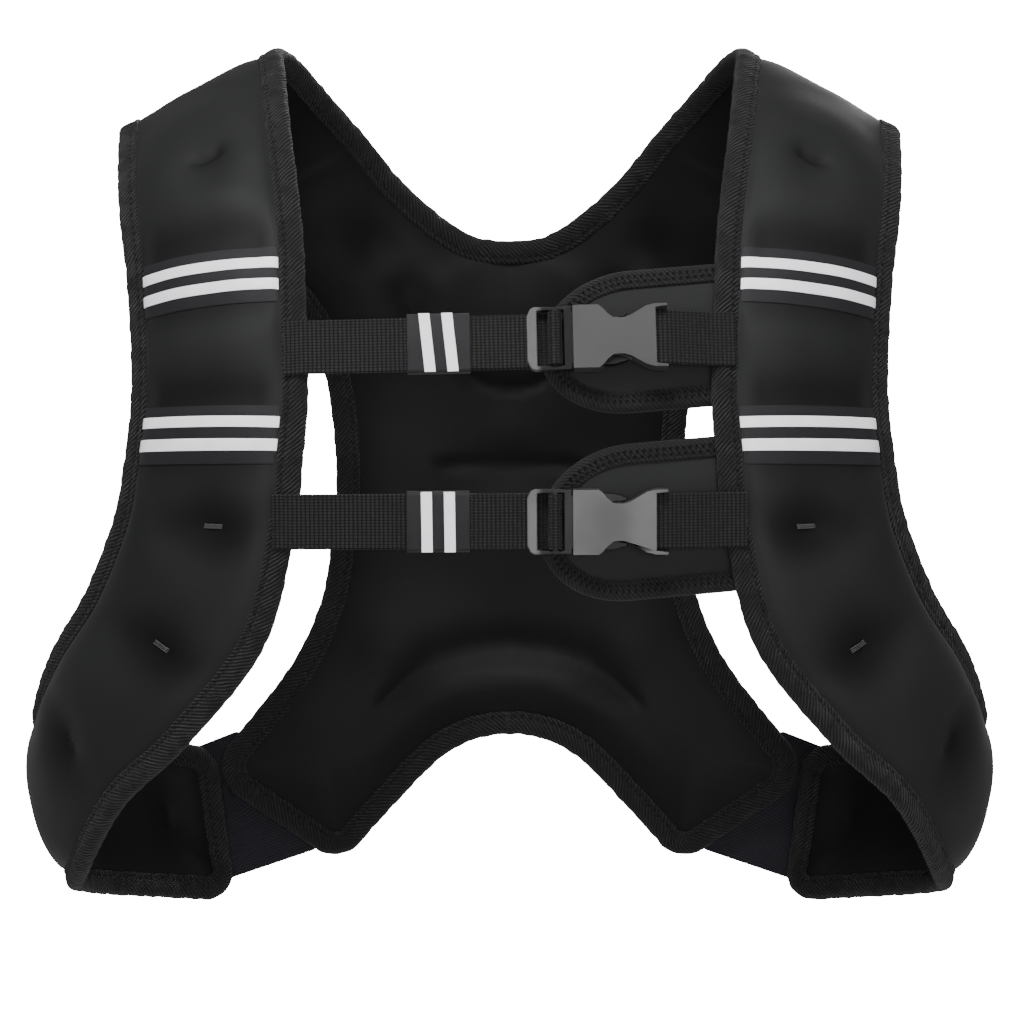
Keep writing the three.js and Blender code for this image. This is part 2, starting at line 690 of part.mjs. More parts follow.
// Heights off the line of the shell's edge, on the side away from the body
const bindingFace = EDGE_THICKNESS / 2 + CLEARANCE + BINDING_THICKNESS;
const webbingStep = WEBBING_THICKNESS + CLEARANCE;
const rearLayer = bindingFace + CLEARANCE + WEBBING_THICKNESS / 2;
const tailLayer = rearLayer + webbingStep;
const maleBack = tailLayer + WEBBING_THICKNESS / 2 + CLEARANCE;
const maleFront = maleBack + MALE_THICKNESS;
const buckleMiddle = (maleBack + maleFront) / 2;
const femaleBack = buckleMiddle - FEMALE_THICKNESS / 2;
const femaleFront = buckleMiddle + FEMALE_THICKNESS / 2;

// Places along the strap
const frameSlotStart = BUCKLE_START + FRAME_BAR;
const centreBarStart = frameSlotStart + FRAME_SLOT;
const centreBarEnd = centreBarStart + CENTRE_BAR;
const rearSlotEnd = centreBarEnd + REAR_SLOT;
const femaleStart = rearSlotEnd + FRAME_SHOULDER;
const femaleEnd = femaleStart + FEMALE_LENGTH;
const socketEnd = femaleStart + SOCKET_LENGTH;
const webbingStop = femaleEnd - 5.2;
const webbingSeatStart = webbingStop - WEBBING_SEAT;
const halfWebbing = WEBBING_WIDTH / 2;
const halfBuckle = BUCKLE_HEIGHT / 2;
const halfSlot = halfWebbing + CLEARANCE;
const halfSocket = halfBuckle - SOCKET_WALL;

// The male half: an adjuster frame with two slots, and a tongue between two sprung arms
function maleBuckle() {
  const armTop = halfSocket - CLEARANCE;
  const armBase = armTop - ARM_HEIGHT;
  const head = socketEnd - CLEARANCE;
  const halfTongue = TONGUE_HEIGHT / 2;
  const half = [
    [BUCKLE_START, halfBuckle - 4],
    [BUCKLE_START + 1.6, halfBuckle - 0.8],
    [BUCKLE_START + 3.4, halfBuckle],
    [femaleStart - CLEARANCE, halfBuckle],
    [femaleStart - CLEARANCE, armTop - 0.7],
    [femaleStart + 10, armTop - 1.2],
    [femaleStart + 12.5, armTop],
    [femaleStart + 19, armTop - 0.3],
    [head - 1.5, armBase + 1.6],
    [head - 2.5, armBase],
    [femaleStart + 12, armBase - 1.2],
    [femaleStart + 2, armBase],
    [femaleStart + 1, halfTongue + 2],
    [femaleStart + 2, halfTongue],
    [head - 5, halfTongue],
    [head - 3.5, halfTongue - 1.5],
  ];
  const body = solidOf(plate(outline(mirroredHalf(half)), maleBack, maleFront));
  const [under, over] = [maleBack - 1, maleFront + 1];
  const frontSlot = solidOf(block(frameSlotStart, centreBarStart, halfSlot, under, over));
  const rearSlot = solidOf(block(centreBarEnd, rearSlotEnd, halfSlot, under, over));
  return geometryOf(body.subtract(frontSlot).subtract(rearSlot));
}

// The female half: a waisted shell with a socket, open at its waist, and a slot for the webbing
function femaleBuckle() {
  const half = [
    [femaleStart, halfBuckle],
    [femaleStart + 11.5, halfBuckle],
    [femaleStart + 13.5, halfBuckle - 1.6],
    [femaleStart + 15.3, halfBuckle - 3.8],
    [femaleStart + 18, FEMALE_WAIST + 0.3],
    [femaleStart + 22.5, FEMALE_WAIST],
    [femaleStart + 26, FEMALE_WAIST + 1.1],
    [femaleStart + 29.5, halfBuckle - 3],
    [femaleStart + 33, halfBuckle - 1],
    [femaleEnd - FEMALE_REAR_FLAT, halfBuckle],
    [femaleEnd, halfBuckle],
    [femaleEnd, halfBuckle - 1],
    [webbingStop, halfSlot + 0.1],
  ];
  const body = solidOf(plate(outline(mirroredHalf(half)), femaleBack, femaleFront));
  const socket = solidOf(
    block(femaleStart - 1, socketEnd, halfSocket, maleBack - CLEARANCE, maleFront + CLEARANCE),
  );
  const seatHalf = WEBBING_THICKNESS / 2 + CLEARANCE;
  const seat = solidOf(
    block(webbingSeatStart, femaleEnd + 1, halfSlot, buckleMiddle - seatHalf, buckleMiddle + seatHalf),
  );
  return geometryOf(body.subtract(socket).subtract(seat));
}

// The keeper: a flat loop of tape round the strap and its tail
function keeperGeometry() {
  const back = rearLayer - WEBBING_THICKNESS / 2 - CLEARANCE;
  const front = tailLayer + WEBBING_THICKNESS / 2 + CLEARANCE;
  const start = KEEPER_CENTRE - KEEPER_LENGTH / 2;
  const end = KEEPER_CENTRE + KEEPER_LENGTH / 2;
  const loop = solidOf(block(start, end, halfSlot + KEEPER_WALL, back - KEEPER_WALL, front + KEEPER_WALL));
  return geometryOf(loop.subtract(solidOf(block(start - 1, end + 1, halfSlot, back, front))));
}
function keeperStripeGeometry(turn) {
  const back = tailLayer + WEBBING_THICKNESS / 2 + 2 * CLEARANCE + KEEPER_WALL;
  const middle = KEEPER_CENTRE + (turn * (KEEPER_STRIPE_WIDTH + KEEPER_STRIPE_GAP)) / 2;
  const half = KEEPER_STRIPE_WIDTH / 2;
  return block(middle - half, middle + half, halfSlot + KEEPER_WALL, back, back + STRIPE_THICKNESS);
}

// The section of the shell where the pads' inner edge stands at a height
function rowAtHeight(height) {
  let upper = CREST_ROW + 1;
  let lower = LAST_ROW - 2;
  for (let halving = 0; halving < 30; halving++) {
    const middle = (upper + lower) / 2;
    if (edgePoint("in", middle).z > height) upper = middle;
    else lower = middle;
  }
  return upper;
}

// Flaps start under the left pad's inner edge, follow it, and slope away from the body to their round tips.
const flapHalf = FLAP_THICKNESS / 2 + CLEARANCE + FLAP_BINDING_THICKNESS;
const flapDepth = bindingFace + 2 * CLEARANCE + flapHalf;
const FLAP_LEVELS = 12;
const FLAP_COLUMNS = 3;

function flapPoint(x, height) {
  const row = rowAtHeight(height);
  const edge = edgePoint("in", row);
  const normal = surfaceNormal(row, 0);
  const root = along(edge, normal, -flapDepth);
  if (x >= edge.x) {
    const underPad = ringOf("in", row, 0).sub(edge).normalize();
    return { place: along(root, underPad, x - edge.x), normal };
  }
  const forwards = new THREE.Vector3(-1, -FLAP_SLOPE, 0);
  const facing = forwards.clone().cross(edgeTangent("in", row)).normalize();
  return { place: along(root, forwards, edge.x - x), normal: facing };
}

// Points on the flap's free edge from its lower root round the tip to its upper root, as X, height and the
// way into the flap
function flapOutline({ edge, flapTop, flapBottom }) {
  const middle = edge.z + (flapTop + flapBottom) / 2;
  const half = (flapTop - flapBottom) / 2;
  const tip = [];
  for (let level = 0; level <= FLAP_LEVELS; level++) {
    const angle = Math.PI * (level / FLAP_LEVELS - 0.5);
    const x = FLAP_TIP + FLAP_ROUNDING * (1 - Math.cos(angle));
    const height = middle + half * Math.sin(angle);
    const inwards = new THREE.Vector2(half * Math.cos(angle), -FLAP_ROUNDING * Math.sin(angle));
    tip.push({ x, height, inwards: inwards.normalize() });
  }
  const root = edge.x + TAB_LENGTH;
  const lowerEdge = [root, edge.x - 1, edge.x - 2].map((x) => ({ ...tip[0], x }));
  const upperEdge = [edge.x - 2, edge.x - 1, root].map((x) => ({ ...tip[FLAP_LEVELS], x }));
  return { tip, root, free: [...lowerEdge, ...tip, ...upperEdge] };
}
function flapGeometry(strap) {
  const { tip, root } = flapOutline(strap);
  const levels = tip.toReversed().map(({ x, height }) => {
    const line = [];
    const inner = edgePoint("in", rowAtHeight(height)).x - 1;
    for (let k = 0; k <= FLAP_COLUMNS; k++) {
      line.push(flapPoint(THREE.MathUtils.lerp(x, inner, k / FLAP_COLUMNS), height));
    }
    return [...line, flapPoint(root, height)];
  });
  const half = FLAP_THICKNESS / 2;
  return sheetGeometry(cellsOf(levels, 1), lifted(half), lifted(-half));
}
function flapBindingGeometry(strap) {
  const sections = flapOutline(strap).free.map(({ x, height, inwards }) => {
    const edge = flapPoint(x, height);
    const step = inwards.clone().multiplyScalar(FLAP_BINDING_WIDTH);
    const ring = flapPoint(x + step.x, height + step.y);
    return foldedSection({ edge, ring }, FLAP_THICKNESS, FLAP_BINDING_THICKNESS);
  });
  return foldedTape(sections, false);
}

// Each strap stands in a frame of its own on the line of the pads' inner edges, tilted as the chest slopes.
for (const { name, row, tilt, flapTop, flapBottom } of STRAPS) {
  const edge = edgePoint("in", row);
  const slope = edgeTangent("in", row);
  const frame = new THREE.Group();
  frame.position.set(0, edge.y, edge.z);
  frame.rotation.set(Math.atan2(slope.y, -slope.z), THREE.MathUtils.degToRad(-tilt), 0);
  vest.add(frame);
  const put = (pieceName, material, geometry) => {
    const mesh = new THREE.Mesh(geometry, materials[material]);
    mesh.name = pieceName;
    frame.add(mesh);
  };
  const tabEnd = edge.x + TAB_LENGTH;
  const overBar = maleFront + webbingStep - WEBBING_THICKNESS / 2;
  const rise = centreBarEnd + CLEARANCE + WEBBING_THICKNESS / 2;
  const fall = centreBarStart - CLEARANCE - WEBBING_THICKNESS / 2;
  const longPath = [
    [-tabEnd, rearLayer - TAB_DIP],
    [-edge.x, rearLayer],
    [rise, rearLayer],
    [rise, overBar],
    [fall, overBar],
    [fall, tailLayer],
    [KEEPER_CENTRE - TAIL_REACH, tailLayer],
  ];
  const shortPath = [
    [webbingSeatStart + CLEARANCE, buckleMiddle],
    [femaleEnd, buckleMiddle],
    [edge.x - 2, rearLayer],
    [tabEnd, rearLayer - TAB_DIP],
  ];
  put(`strap_long_${name}`, "webbing", webbing(longPath));
  put(`strap_short_${name}`, "webbing", webbing(shortPath));
  put(`buckle_male_${name}`, "plastic", maleBuckle());
  put(`buckle_female_${name}`, "plastic", femaleBuckle());
  put(`keeper_${name}`, "tape", keeperGeometry());
  put(`keeper_stripe_${name}_1`, "reflective", keeperStripeGeometry(-1));
  put(`keeper_stripe_${name}_2`, "reflective", keeperStripeGeometry(1));

  add(`buckle_flap_${name}`, "neoprene", flapGeometry({ edge, flapTop, flapBottom }));
  add(`flap_binding_${name}`, "binding", flapBindingGeometry({ edge, flapTop, flapBottom }));
}

// The side elastics: stretched bands over the outer faces of the wing's end and the back panel's lower edge
const rimReach = 2 * CLEARANCE + BINDING_THICKNESS;

// Two points of a band over a bound edge: its end, lapped over the binding, and the rim that it leaves over
function lapPoints(row, across, inwardRow, inwardAcross) {
  const edge = middlePoint(row, across);
  const inwards = middlePoint(inwardRow, inwardAcross).sub(edge).normalize();
  const normal = surfaceNormal(row, across);
  const lifting = along(edge, normal, bindingFace + CLEARANCE + ELASTIC_THICKNESS / 2);
  return [
    { place: along(lifting, inwards, ELASTIC_LAP), normal },
    { place: along(lifting, inwards, -rimReach), normal },
  ];
}
function elasticGeometry(side) {
  const wing = [0.86, 0.65, 0.4, 0.14].map((across) => lapPoints(LAST_ROW, across, LAST_ROW - 1, across));
  const panel = [
    lapPoints(0.85, 1, 0.85, 0),
    lapPoints(0.2, 0.93, 1, 0.85),
    lapPoints(0, 0.55, 1, 0.6),
    lapPoints(0, 0.17, 1, 0.3),
  ];
  const columns = wing.map((start, k) => [...start, ...panel[k].reverse()]);
  const half = ELASTIC_THICKNESS / 2;
  return sheetGeometry(cellsOf(columns, side), lifted(half), lifted(-half));
}
for (const { side, label } of sideNames) add(`side_elastic_${label}`, "elastic", elasticGeometry(side));

export default vest;
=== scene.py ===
"""Looks of a padded fitness vest shown as worn. Geometry is worked out in millimetres and built in metres."""

import math

import bmesh
import bpy
import numpy as np
from mathutils import Matrix, Vector, kdtree


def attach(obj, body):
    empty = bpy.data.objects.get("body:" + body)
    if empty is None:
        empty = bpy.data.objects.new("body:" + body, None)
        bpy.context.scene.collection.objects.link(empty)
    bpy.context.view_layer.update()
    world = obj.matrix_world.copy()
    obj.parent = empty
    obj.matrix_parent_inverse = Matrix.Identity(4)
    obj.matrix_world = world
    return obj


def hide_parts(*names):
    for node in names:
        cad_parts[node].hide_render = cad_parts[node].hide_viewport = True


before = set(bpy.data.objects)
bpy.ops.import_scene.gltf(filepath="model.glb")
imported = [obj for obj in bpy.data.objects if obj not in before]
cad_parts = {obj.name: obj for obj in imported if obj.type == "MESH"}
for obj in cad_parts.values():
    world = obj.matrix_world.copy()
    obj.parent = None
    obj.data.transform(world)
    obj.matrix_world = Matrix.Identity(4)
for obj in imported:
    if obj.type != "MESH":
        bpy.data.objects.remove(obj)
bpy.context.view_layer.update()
MM = 0.001

# ---- sections of the shell
# Each row is a section of the left half, from the back panel's lower corner over the shoulder and down the
# front to the wing's end: its inner edge's x, y, z, its outer edge's x, y, z, and the rise between them.
HALF_WIDTH, HALF_DEPTH, HEIGHT = 200.0, 100.0, 400.0
SECTIONS = np.array([
    [0.4135, 0.92, -0.901, 0.73, 0.8, -0.792, 0.02],
    [0.3, 0.945, -0.8365, 0.635, 0.86, -0.735, 0.025],
    [0.15, 0.965, -0.764, 0.52, 0.905, -0.659, 0.03],
    [0, 0.97, -0.7425, 0.4525, 0.93, -0.584, 0.01],
    [0, 1.005, -0.6375, 0.4285, 0.95, -0.515, 0.014],
    [0, 1.04, -0.525, 0.416, 0.96, -0.4475, 0.02],
    [0, 1.06, -0.4125, 0.419, 0.955, -0.3925, 0.026],
    [0, 1.045, -0.2875, 0.434, 0.935, -0.3275, 0.028],
    [0, 0.97, -0.1475, 0.4575, 0.905, -0.28, 0.016],
    [0.089, 0.958, -0.142, 0.4975, 0.87, -0.2375, 0.022],
    [0.175, 0.92, -0.116, 0.565, 0.81, -0.199, 0.03],
    [0.2715, 0.855, -0.073, 0.655, 0.715, -0.16, 0.035],
    [0.355, 0.76, -0.0225, 0.745, 0.6, -0.1225, 0.035],
    [0.437, 0.59, 0.0225, 0.83, 0.42, -0.0825, 0.03],
    [0.504, 0.33, 0.0585, 0.885, 0.22, -0.05, 0.02],
    [0.54, 0.06, 0.065, 0.905, 0.03, -0.031, 0.01],
    [0.5325, -0.18, 0.039, 0.9065, -0.14, -0.047, 0.015],
    [0.5125, -0.54, -0.0325, 0.898, -0.41, -0.1025, 0.03],
    [0.49, -0.77, -0.1075, 0.8855, -0.56, -0.1525, 0.045],
    [0.475, -0.91, -0.17, 0.871, -0.645, -0.1965, 0.055],
    [0.4685, -1.01, -0.2315, 0.86, -0.7, -0.254, 0.06],
    [0.463, -1.08, -0.295, 0.854, -0.735, -0.309, 0.06],
    [0.4615, -1.12, -0.354, 0.855, -0.755, -0.356, 0.06],
    [0.4725, -1.135, -0.4175, 0.87, -0.755, -0.419, 0.06],
    [0.4875, -1.125, -0.484, 0.896, -0.71, -0.484, 0.06],
    [0.5575, -1.06, -0.6225, 0.966, -0.555, -0.5675, 0.06],
    [0.735, -0.92, -0.736, 1.05, -0.33, -0.635, 0.06],
    [0.89, -0.7, -0.81, 1.0985, -0.04, -0.6925, 0.06],
    [0.9975, -0.25, -0.9, 1.1065, 0.325, -0.722, 0.05],
    [1.005, 0.25, -0.9225, 1.0075, 0.645, -0.74, 0.04],
    [0.825, 0.66, -0.9365, 0.8425, 0.835, -0.7575, 0.03],
    [0.6725, 0.84, -0.944, 0.72, 0.9, -0.764, 0.02],
])
SIZES = np.array([HALF_WIDTH, HALF_DEPTH, HEIGHT])
# The rows where the middle line starts at the arch and ends at the neck, and the wing's end
ARCH, NECK, LAST = 3, 8, 31
BINDING_WIDTH = 9.5
MIRROR = np.array([-1.0, 1.0, 1.0])
FLAT = np.array([1.0, 0.0, 1.0])
MIDDLE_FADE, MIDDLE_SOFT = 1.5, 0.15


def spline(values, at, before=None, after=None):
    """Smooth curve through a run of points; a ghost point at either end is optional."""
    first = 2 * values[0] - values[1] if before is None else before
    final = 2 * values[-1] - values[-2] if after is None else after
    full = np.concatenate([[first], values, [final]])
    cell = np.clip(np.floor(at).astype(int), 0, len(values) - 2)
    u = (at - cell)[..., None]
    a, b, c, d = full[cell], full[cell + 1], full[cell + 2], full[cell + 3]
    return b + 0.5 * u * (c - a + (2 * a - 5 * b + 4 * c - d) * u + (3 * b - a - 3 * c + d) * u * u)


def edge(side, row):
    row = np.asarray(row, float)
    columns = SECTIONS[:, :3] * SIZES if side == "in" else SECTIONS[:, 3:6] * SIZES
    if side == "out":
        return spline(columns, row)
    made = np.empty(row.shape + (3,))
    low, mid, high = row <= ARCH, (row > ARCH) & (row <= NECK), row > NECK
    made[low] = spline(columns[: ARCH + 1], row[low], after=columns[ARCH - 1] * MIRROR)
    made[mid] = spline(columns[ARCH : NECK + 1], row[mid] - ARCH)
    made[high] = spline(columns[NECK:], row[high] - NECK, before=columns[NECK + 1] * MIRROR)
    return made


def width_at(row):
    return np.linalg.norm(edge("out", row) - edge("in", row), axis=-1)


def together(a, b):
    return np.broadcast_arrays(np.asarray(a, float), np.asarray(b, float))


def unit(v):
    return v / np.maximum(np.linalg.norm(v, axis=-1, keepdims=True), 1e-9)


PROBE = 0.02


def section_normal(row):
    low, high = np.maximum(row - PROBE, 0), np.minimum(row + PROBE, LAST)
    lengthwise = edge("in", high) + edge("out", high) - edge("in", low) - edge("out", low)
    return unit(np.cross(lengthwise, edge("out", row) - edge("in", row)))


def middle(row, across):
    """Points halfway through the shell's thickness; the panel is level where its halves meet."""
    row, across = together(row, across)
    crown = spline(SECTIONS[:, 6:7] * HALF_DEPTH, row)[..., 0]
    a, b = edge("in", row), edge("out", row)
    chord = a + (b - a) * across[..., None]
    bend = 4 * across * (1 - across)
    by_middle = np.clip((NECK + MIDDLE_FADE - row) / MIDDLE_FADE, 0, 1)
    by_middle = by_middle * np.clip((row - ARCH + MIDDLE_FADE) / MIDDLE_FADE, 0, 1)
    bend = bend * (1 - by_middle * MIDDLE_SOFT / (across + MIDDLE_SOFT))
    level = (1 + MIDDLE_SOFT) * across**2 / (across + MIDDLE_SOFT) - across
    chord[..., 1] += (b - a)[..., 1] * by_middle * level
    return chord + section_normal(row) * (crown * bend)[..., None]


def normal_at(row, across):
    row, across = together(row, across)
    low, high = np.maximum(row - PROBE, 0), np.minimum(row + PROBE, LAST)
    left, right = np.maximum(across - PROBE, 0), np.minimum(across + PROBE, 1)
    lengthwise = middle(high, across) - middle(low, across)
    sideways = middle(row, right) - middle(row, left)
    normal = np.cross(lengthwise, sideways)
    centred = (across == 0) & (row >= ARCH) & (row <= NECK)
    normal[centred, 0] = 0
    return unit(normal)


# ---- building meshes
def run_length(points):
    return np.concatenate([[0], np.cumsum(np.linalg.norm(np.diff(points, axis=0), axis=1))])


def resample(points, step, *vectors):
    """Even stations along a line, the vectors there, and the length up to each station."""
    lengths = run_length(points)
    count = max(int(round(lengths[-1] / step)), 2)
    at = np.linspace(0, lengths[-1], count + 1)
    out = []
    for v in (points, *vectors):
        out.append(np.stack([np.interp(at, lengths, v[:, k]) for k in range(v.shape[1])], 1))
    return [out[0], *[unit(v) for v in out[1:]], at]


def mesh_object(name, points, faces, uvs):
    mesh = bpy.data.meshes.new(name)
    places = [tuple(p) for p in np.asarray(points) * MM]
    mesh.from_pydata(places, [], [tuple(int(i) for i in f) for f in faces])
    layer = mesh.uv_layers.new(name="UVMap")
    corners = np.empty(len(mesh.loops), dtype=np.int64)
    mesh.loops.foreach_get("vertex_index", corners)
    layer.data.foreach_set("uv", (np.asarray(uvs)[corners] * MM).astype(np.float32).ravel())
    mesh.validate()
    mesh.polygons.foreach_set("use_smooth", [True] * len(mesh.polygons))
    piece = bpy.data.objects.new(name, mesh)
    bpy.context.collection.objects.link(piece)
    return piece


def finish(piece, material, slot, *nodes, sharp=None):
    """Dress a piece, tell the frame what it rides on and hide the nodes that it stands for; slot is not used.
    """
    if sharp is not None:
        auto_smooth(piece, sharp)
    piece.data.materials.clear()
    piece.data.materials.append(MATERIALS[material])
    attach(piece, "root")
    if nodes:
        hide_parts(*nodes)
    return piece


def grid_faces(rows, columns, wrap_columns=False, wrap_rows=False):
    faces = []
    for i in range(rows if wrap_rows else rows - 1):
        for j in range(columns if wrap_columns else columns - 1):
            a, b = i * columns + j, i * columns + (j + 1) % columns
            c, d = ((i + 1) % rows) * columns + (j + 1) % columns, ((i + 1) % rows) * columns + j
            faces.append((a, b, c, d))
    return faces


def slab(outer, inner, uv):
    """Points, faces and uvs of a closed slab between two grids of points."""
    rows, columns = outer.shape[:2]
    size, last = rows * columns, (rows - 1) * columns
    quads = grid_faces(rows, columns)
    faces = quads + [tuple(size + i for i in q[::-1]) for q in quads]
    ring = list(range(columns)) + [i * columns + columns - 1 for i in range(1, rows)]
    ring += [last + j for j in range(columns - 2, -1, -1)] + [i * columns for i in range(rows - 2, 0, -1)]
    faces += [(a, b, b + size, a + size) for a, b in zip(ring, ring[1:] + ring[:1])]
    uv = uv.reshape(-1, 2)
    return np.concatenate([outer.reshape(-1, 3), inner.reshape(-1, 3)]), faces, np.concatenate([uv, uv])


def sweep(name, places, inward, normal, lengths, profile, closed=False):
    """Carry a closed profile of (along inward, along normal) through the stations."""
    profile = np.asarray(profile, float)
    count = len(profile)
    points = places[:, None] + inward[:, None] * profile[None, :, :1]
    points = points + normal[:, None] * profile[None, :, 1:2]
    around = run_length(profile)
    uvs = np.stack(np.broadcast_arrays(lengths[:, None], around[None]), -1)
    rows = len(places)
    faces = grid_faces(rows, count, wrap_columns=True, wrap_rows=closed)
    if not closed:
        faces += [tuple(range(count))[::-1], tuple((rows - 1) * count + k for k in range(count))]
    return outwards(mesh_object(name, points.reshape(-1, 3), faces, uvs.reshape(-1, 2)))


def outwards(piece, join=None):
    """Turn the faces outwards, after joining points that lie closer than join."""
    work = bmesh.new()
    work.from_mesh(piece.data)
    if join is not None:
        bmesh.ops.remove_doubles(work, verts=work.verts, dist=join)
    bmesh.ops.recalc_face_normals(work, faces=work.faces)
    work.to_mesh(piece.data)
    work.free()
    return piece


def auto_smooth(piece, degrees=40):
    piece.data.polygons.foreach_set("use_smooth", [True] * len(piece.data.polygons))
    piece.data.set_sharp_from_angle(angle=math.radians(degrees))


# ---- materials
class Nodes:
    """Short names for building a material's node tree."""

    def __init__(self, name, base, rough, sheen=0.0, sheen_rough=0.5, specular=0.3):
        self.material = bpy.data.materials.new(name)
        self.material.use_nodes = True
        self.tree = self.material.node_tree
        self.shader = self.tree.nodes["Principled BSDF"]
        for socket, value in [
            ("Base Color", (*base, 1)), ("Roughness", rough), ("Sheen Weight", sheen),
            ("Sheen Roughness", sheen_rough), ("Specular IOR Level", specular),
        ]:
            self.shader.inputs[socket].default_value = value

    def node(self, kind, **settings):
        made = self.tree.nodes.new(kind)
        for key, value in settings.items():
            setattr(made, key, value)
        return made

    def put(self, value, socket):
        if isinstance(value, bpy.types.NodeSocket):
            self.tree.links.new(value, socket)
        else:
            socket.default_value = value

    def math(self, operation, a, b=0.0):
        made = self.node("ShaderNodeMath", operation=operation)
        for socket, value in zip(made.inputs, (a, b)):
            self.put(value, socket)
        return made.outputs[0]

    def plus(self, a, b):
        return self.math("ADD", a, b)

    def minus(self, a, b):
        return self.math("SUBTRACT", a, b)

    def times(self, a, b):
        return self.math("MULTIPLY", a, b)

    def uv(self):
        split = self.node("ShaderNodeSeparateXYZ")
        self.put(self.node("ShaderNodeUVMap", uv_map="UVMap").outputs[0], split.inputs[0])
        return split.outputs[0], split.outputs[1]

    def place(self):
        return self.node("ShaderNodeTexCoord").outputs["Object"]

    def noise(self, scale, detail=3.0):
        made = self.node("ShaderNodeTexNoise")
        self.put(self.place(), made.inputs["Vector"])
        made.inputs["Scale"].default_value = scale
        made.inputs["Detail"].default_value = detail
        return made.outputs["Fac"]

    def point_value(self, name):
        return self.node("ShaderNodeAttribute", attribute_name=name).outputs["Fac"]

    def sideways(self):
        split = self.node("ShaderNodeSeparateXYZ")
        self.put(self.place(), split.inputs[0])
        return split.outputs[0]

    def wave(self, value, period_mm):
        return self.math("SINE", self.times(value, 2 * math.pi / (period_mm * MM)))

    def line(self, value, at_mm):
        """1 on a sewn line about a millimetre wide, 0 away from it."""
        off = self.math("ABSOLUTE", self.minus(value, at_mm * MM))
        return self.ramp(off, 0.0004, 0.0014, 1.0, 0.0)

    def ramp(self, value, low, high, start=0.0, end=1.0):
        made = self.node("ShaderNodeMapRange", interpolation_type="SMOOTHSTEP")
        self.put(value, made.inputs["Value"])
        for key, number in [("From Min", low), ("From Max", high), ("To Min", start), ("To Max", end)]:
            made.inputs[key].default_value = number
        return made.outputs[0]

    def mix(self, factor, a, b):
        made = self.node("ShaderNodeMix", data_type="RGBA")
        self.put(factor, made.inputs[0])
        self.put((*a, 1) if isinstance(a, tuple) else a, made.inputs[6])
        self.put((*b, 1) if isinstance(b, tuple) else b, made.inputs[7])
        return made.outputs[2]

    def bump(self, height, distance_mm, strength=1.0, under=None):
        made = self.node("ShaderNodeBump")
        self.put(height, made.inputs["Height"])
        made.inputs["Distance"].default_value = distance_mm * MM
        made.inputs["Strength"].default_value = strength
        if under is not None:
            self.put(under, made.inputs["Normal"])
        return made.outputs[0]

    def done(self, colour, rough, normal):
        for socket, value in (("Base Color", colour), ("Roughness", rough), ("Normal", normal)):
            if value is not None:
                self.put(value, self.shader.inputs[socket])
        return self.material


def grey(level):
    return (level, level, level)


def neoprene_material():
    n = Nodes("neoprene", grey(0.02), 0.6, sheen=0.04, sheen_rough=0.4, specular=0.12)
    inner_face, hollow_shade = n.point_value("inner_face"), n.point_value("hollow_shade")
    broad = n.noise(14, 2)
    fine = n.noise(1400, 2)
    knit = n.noise(3200, 1)
    face = n.mix(n.ramp(broad, 0.3, 0.7), (0.0116, 0.0122, 0.0119), (0.0142, 0.0148, 0.0145))
    # The inner face is coloured darker than the outer face.
    colour = n.mix(inner_face, face, (0.0034, 0.0038, 0.0036))
    # Painted shade: the colour darkens to near black where the face is pinched in.
    colour = n.mix(n.ramp(hollow_shade, 0.06, 0.88, 0.0, 0.78), colour, grey(0.0018))
    uneven = n.plus(n.times(fine, 0.4), n.times(broad, 0.6))
    rough = n.ramp(uneven, 0.3, 0.7, 0.56, 0.7)
    normal = n.bump(n.plus(fine, n.times(knit, 0.7)), 0.05, 0.5)
    return n.done(colour, rough, n.bump(n.noise(60, 3), 0.25, 0.35, normal))


def binding_material(name, edge_mm, seam_mm, rib, valley_shade, holes_mm=None):
    """Folded twill tape with slanted ribs of strength rib, their crests painted lighter as painted highlight
    over a darker colour in the grooves, which is painted shade.

    edge_mm is where its outer fold lies, seam_mm how far in it is sewn, and holes_mm where stitch holes run.
    """
    n = Nodes(name, grey(0.02), 0.7, sheen=0.05, specular=0.15)
    u, v = n.uv()
    wobble = n.times(n.noise(160, 2), 0.0014)
    from_edge = n.math("ABSOLUTE", n.minus(v, edge_mm * MM))
    slanted = n.plus(n.plus(u, n.times(v, 0.95)), wobble)
    ribs = n.wave(slanted, 2.15)
    fibre = n.wave(n.minus(u, v), 0.8)
    worn = n.ramp(n.noise(110, 3), 0.35, 0.68, 0.25 * rib, rib)
    height = n.times(ribs, worn)
    height = n.plus(height, n.times(fibre, 0.15))
    height = n.plus(height, n.times(n.noise(1100, 3), 0.7))
    # Painted highlight on the rib crests, half as strong on the inner face past the fold, over the painted
    # shade in the grooves.
    inner = n.ramp(v, (edge_mm - 1.5) * MM, (edge_mm + 1.5) * MM, 1.0, 0.5)
    lit_rib_tops = n.times(n.times(n.ramp(ribs, -0.5, 0.95), worn), inner)
    colour = n.mix(lit_rib_tops, valley_shade, (0.0255, 0.0262, 0.0258))
    seam = n.line(from_edge, seam_mm)
    dash = n.ramp(n.wave(u, 3.3), -0.3, 0.3)
    raised = n.minus(n.times(dash, 2.6), 2.0)
    height = n.plus(height, n.times(seam, raised))
    shade = n.minus(0.85, n.times(dash, 0.6))
    colour = n.mix(n.times(seam, shade), colour, grey(0.003))
    if holes_mm is not None:
        hole = n.times(n.line(v, holes_mm), n.ramp(n.wave(u, 3.0), -0.3, 0.4))
        height = n.minus(height, n.times(hole, 3.0))
        colour = n.mix(n.times(hole, 0.9), colour, grey(0.002))
    return n.done(colour, n.ramp(ribs, -1, 1, 0.85, 0.6), n.bump(height, 0.4, 0.9))


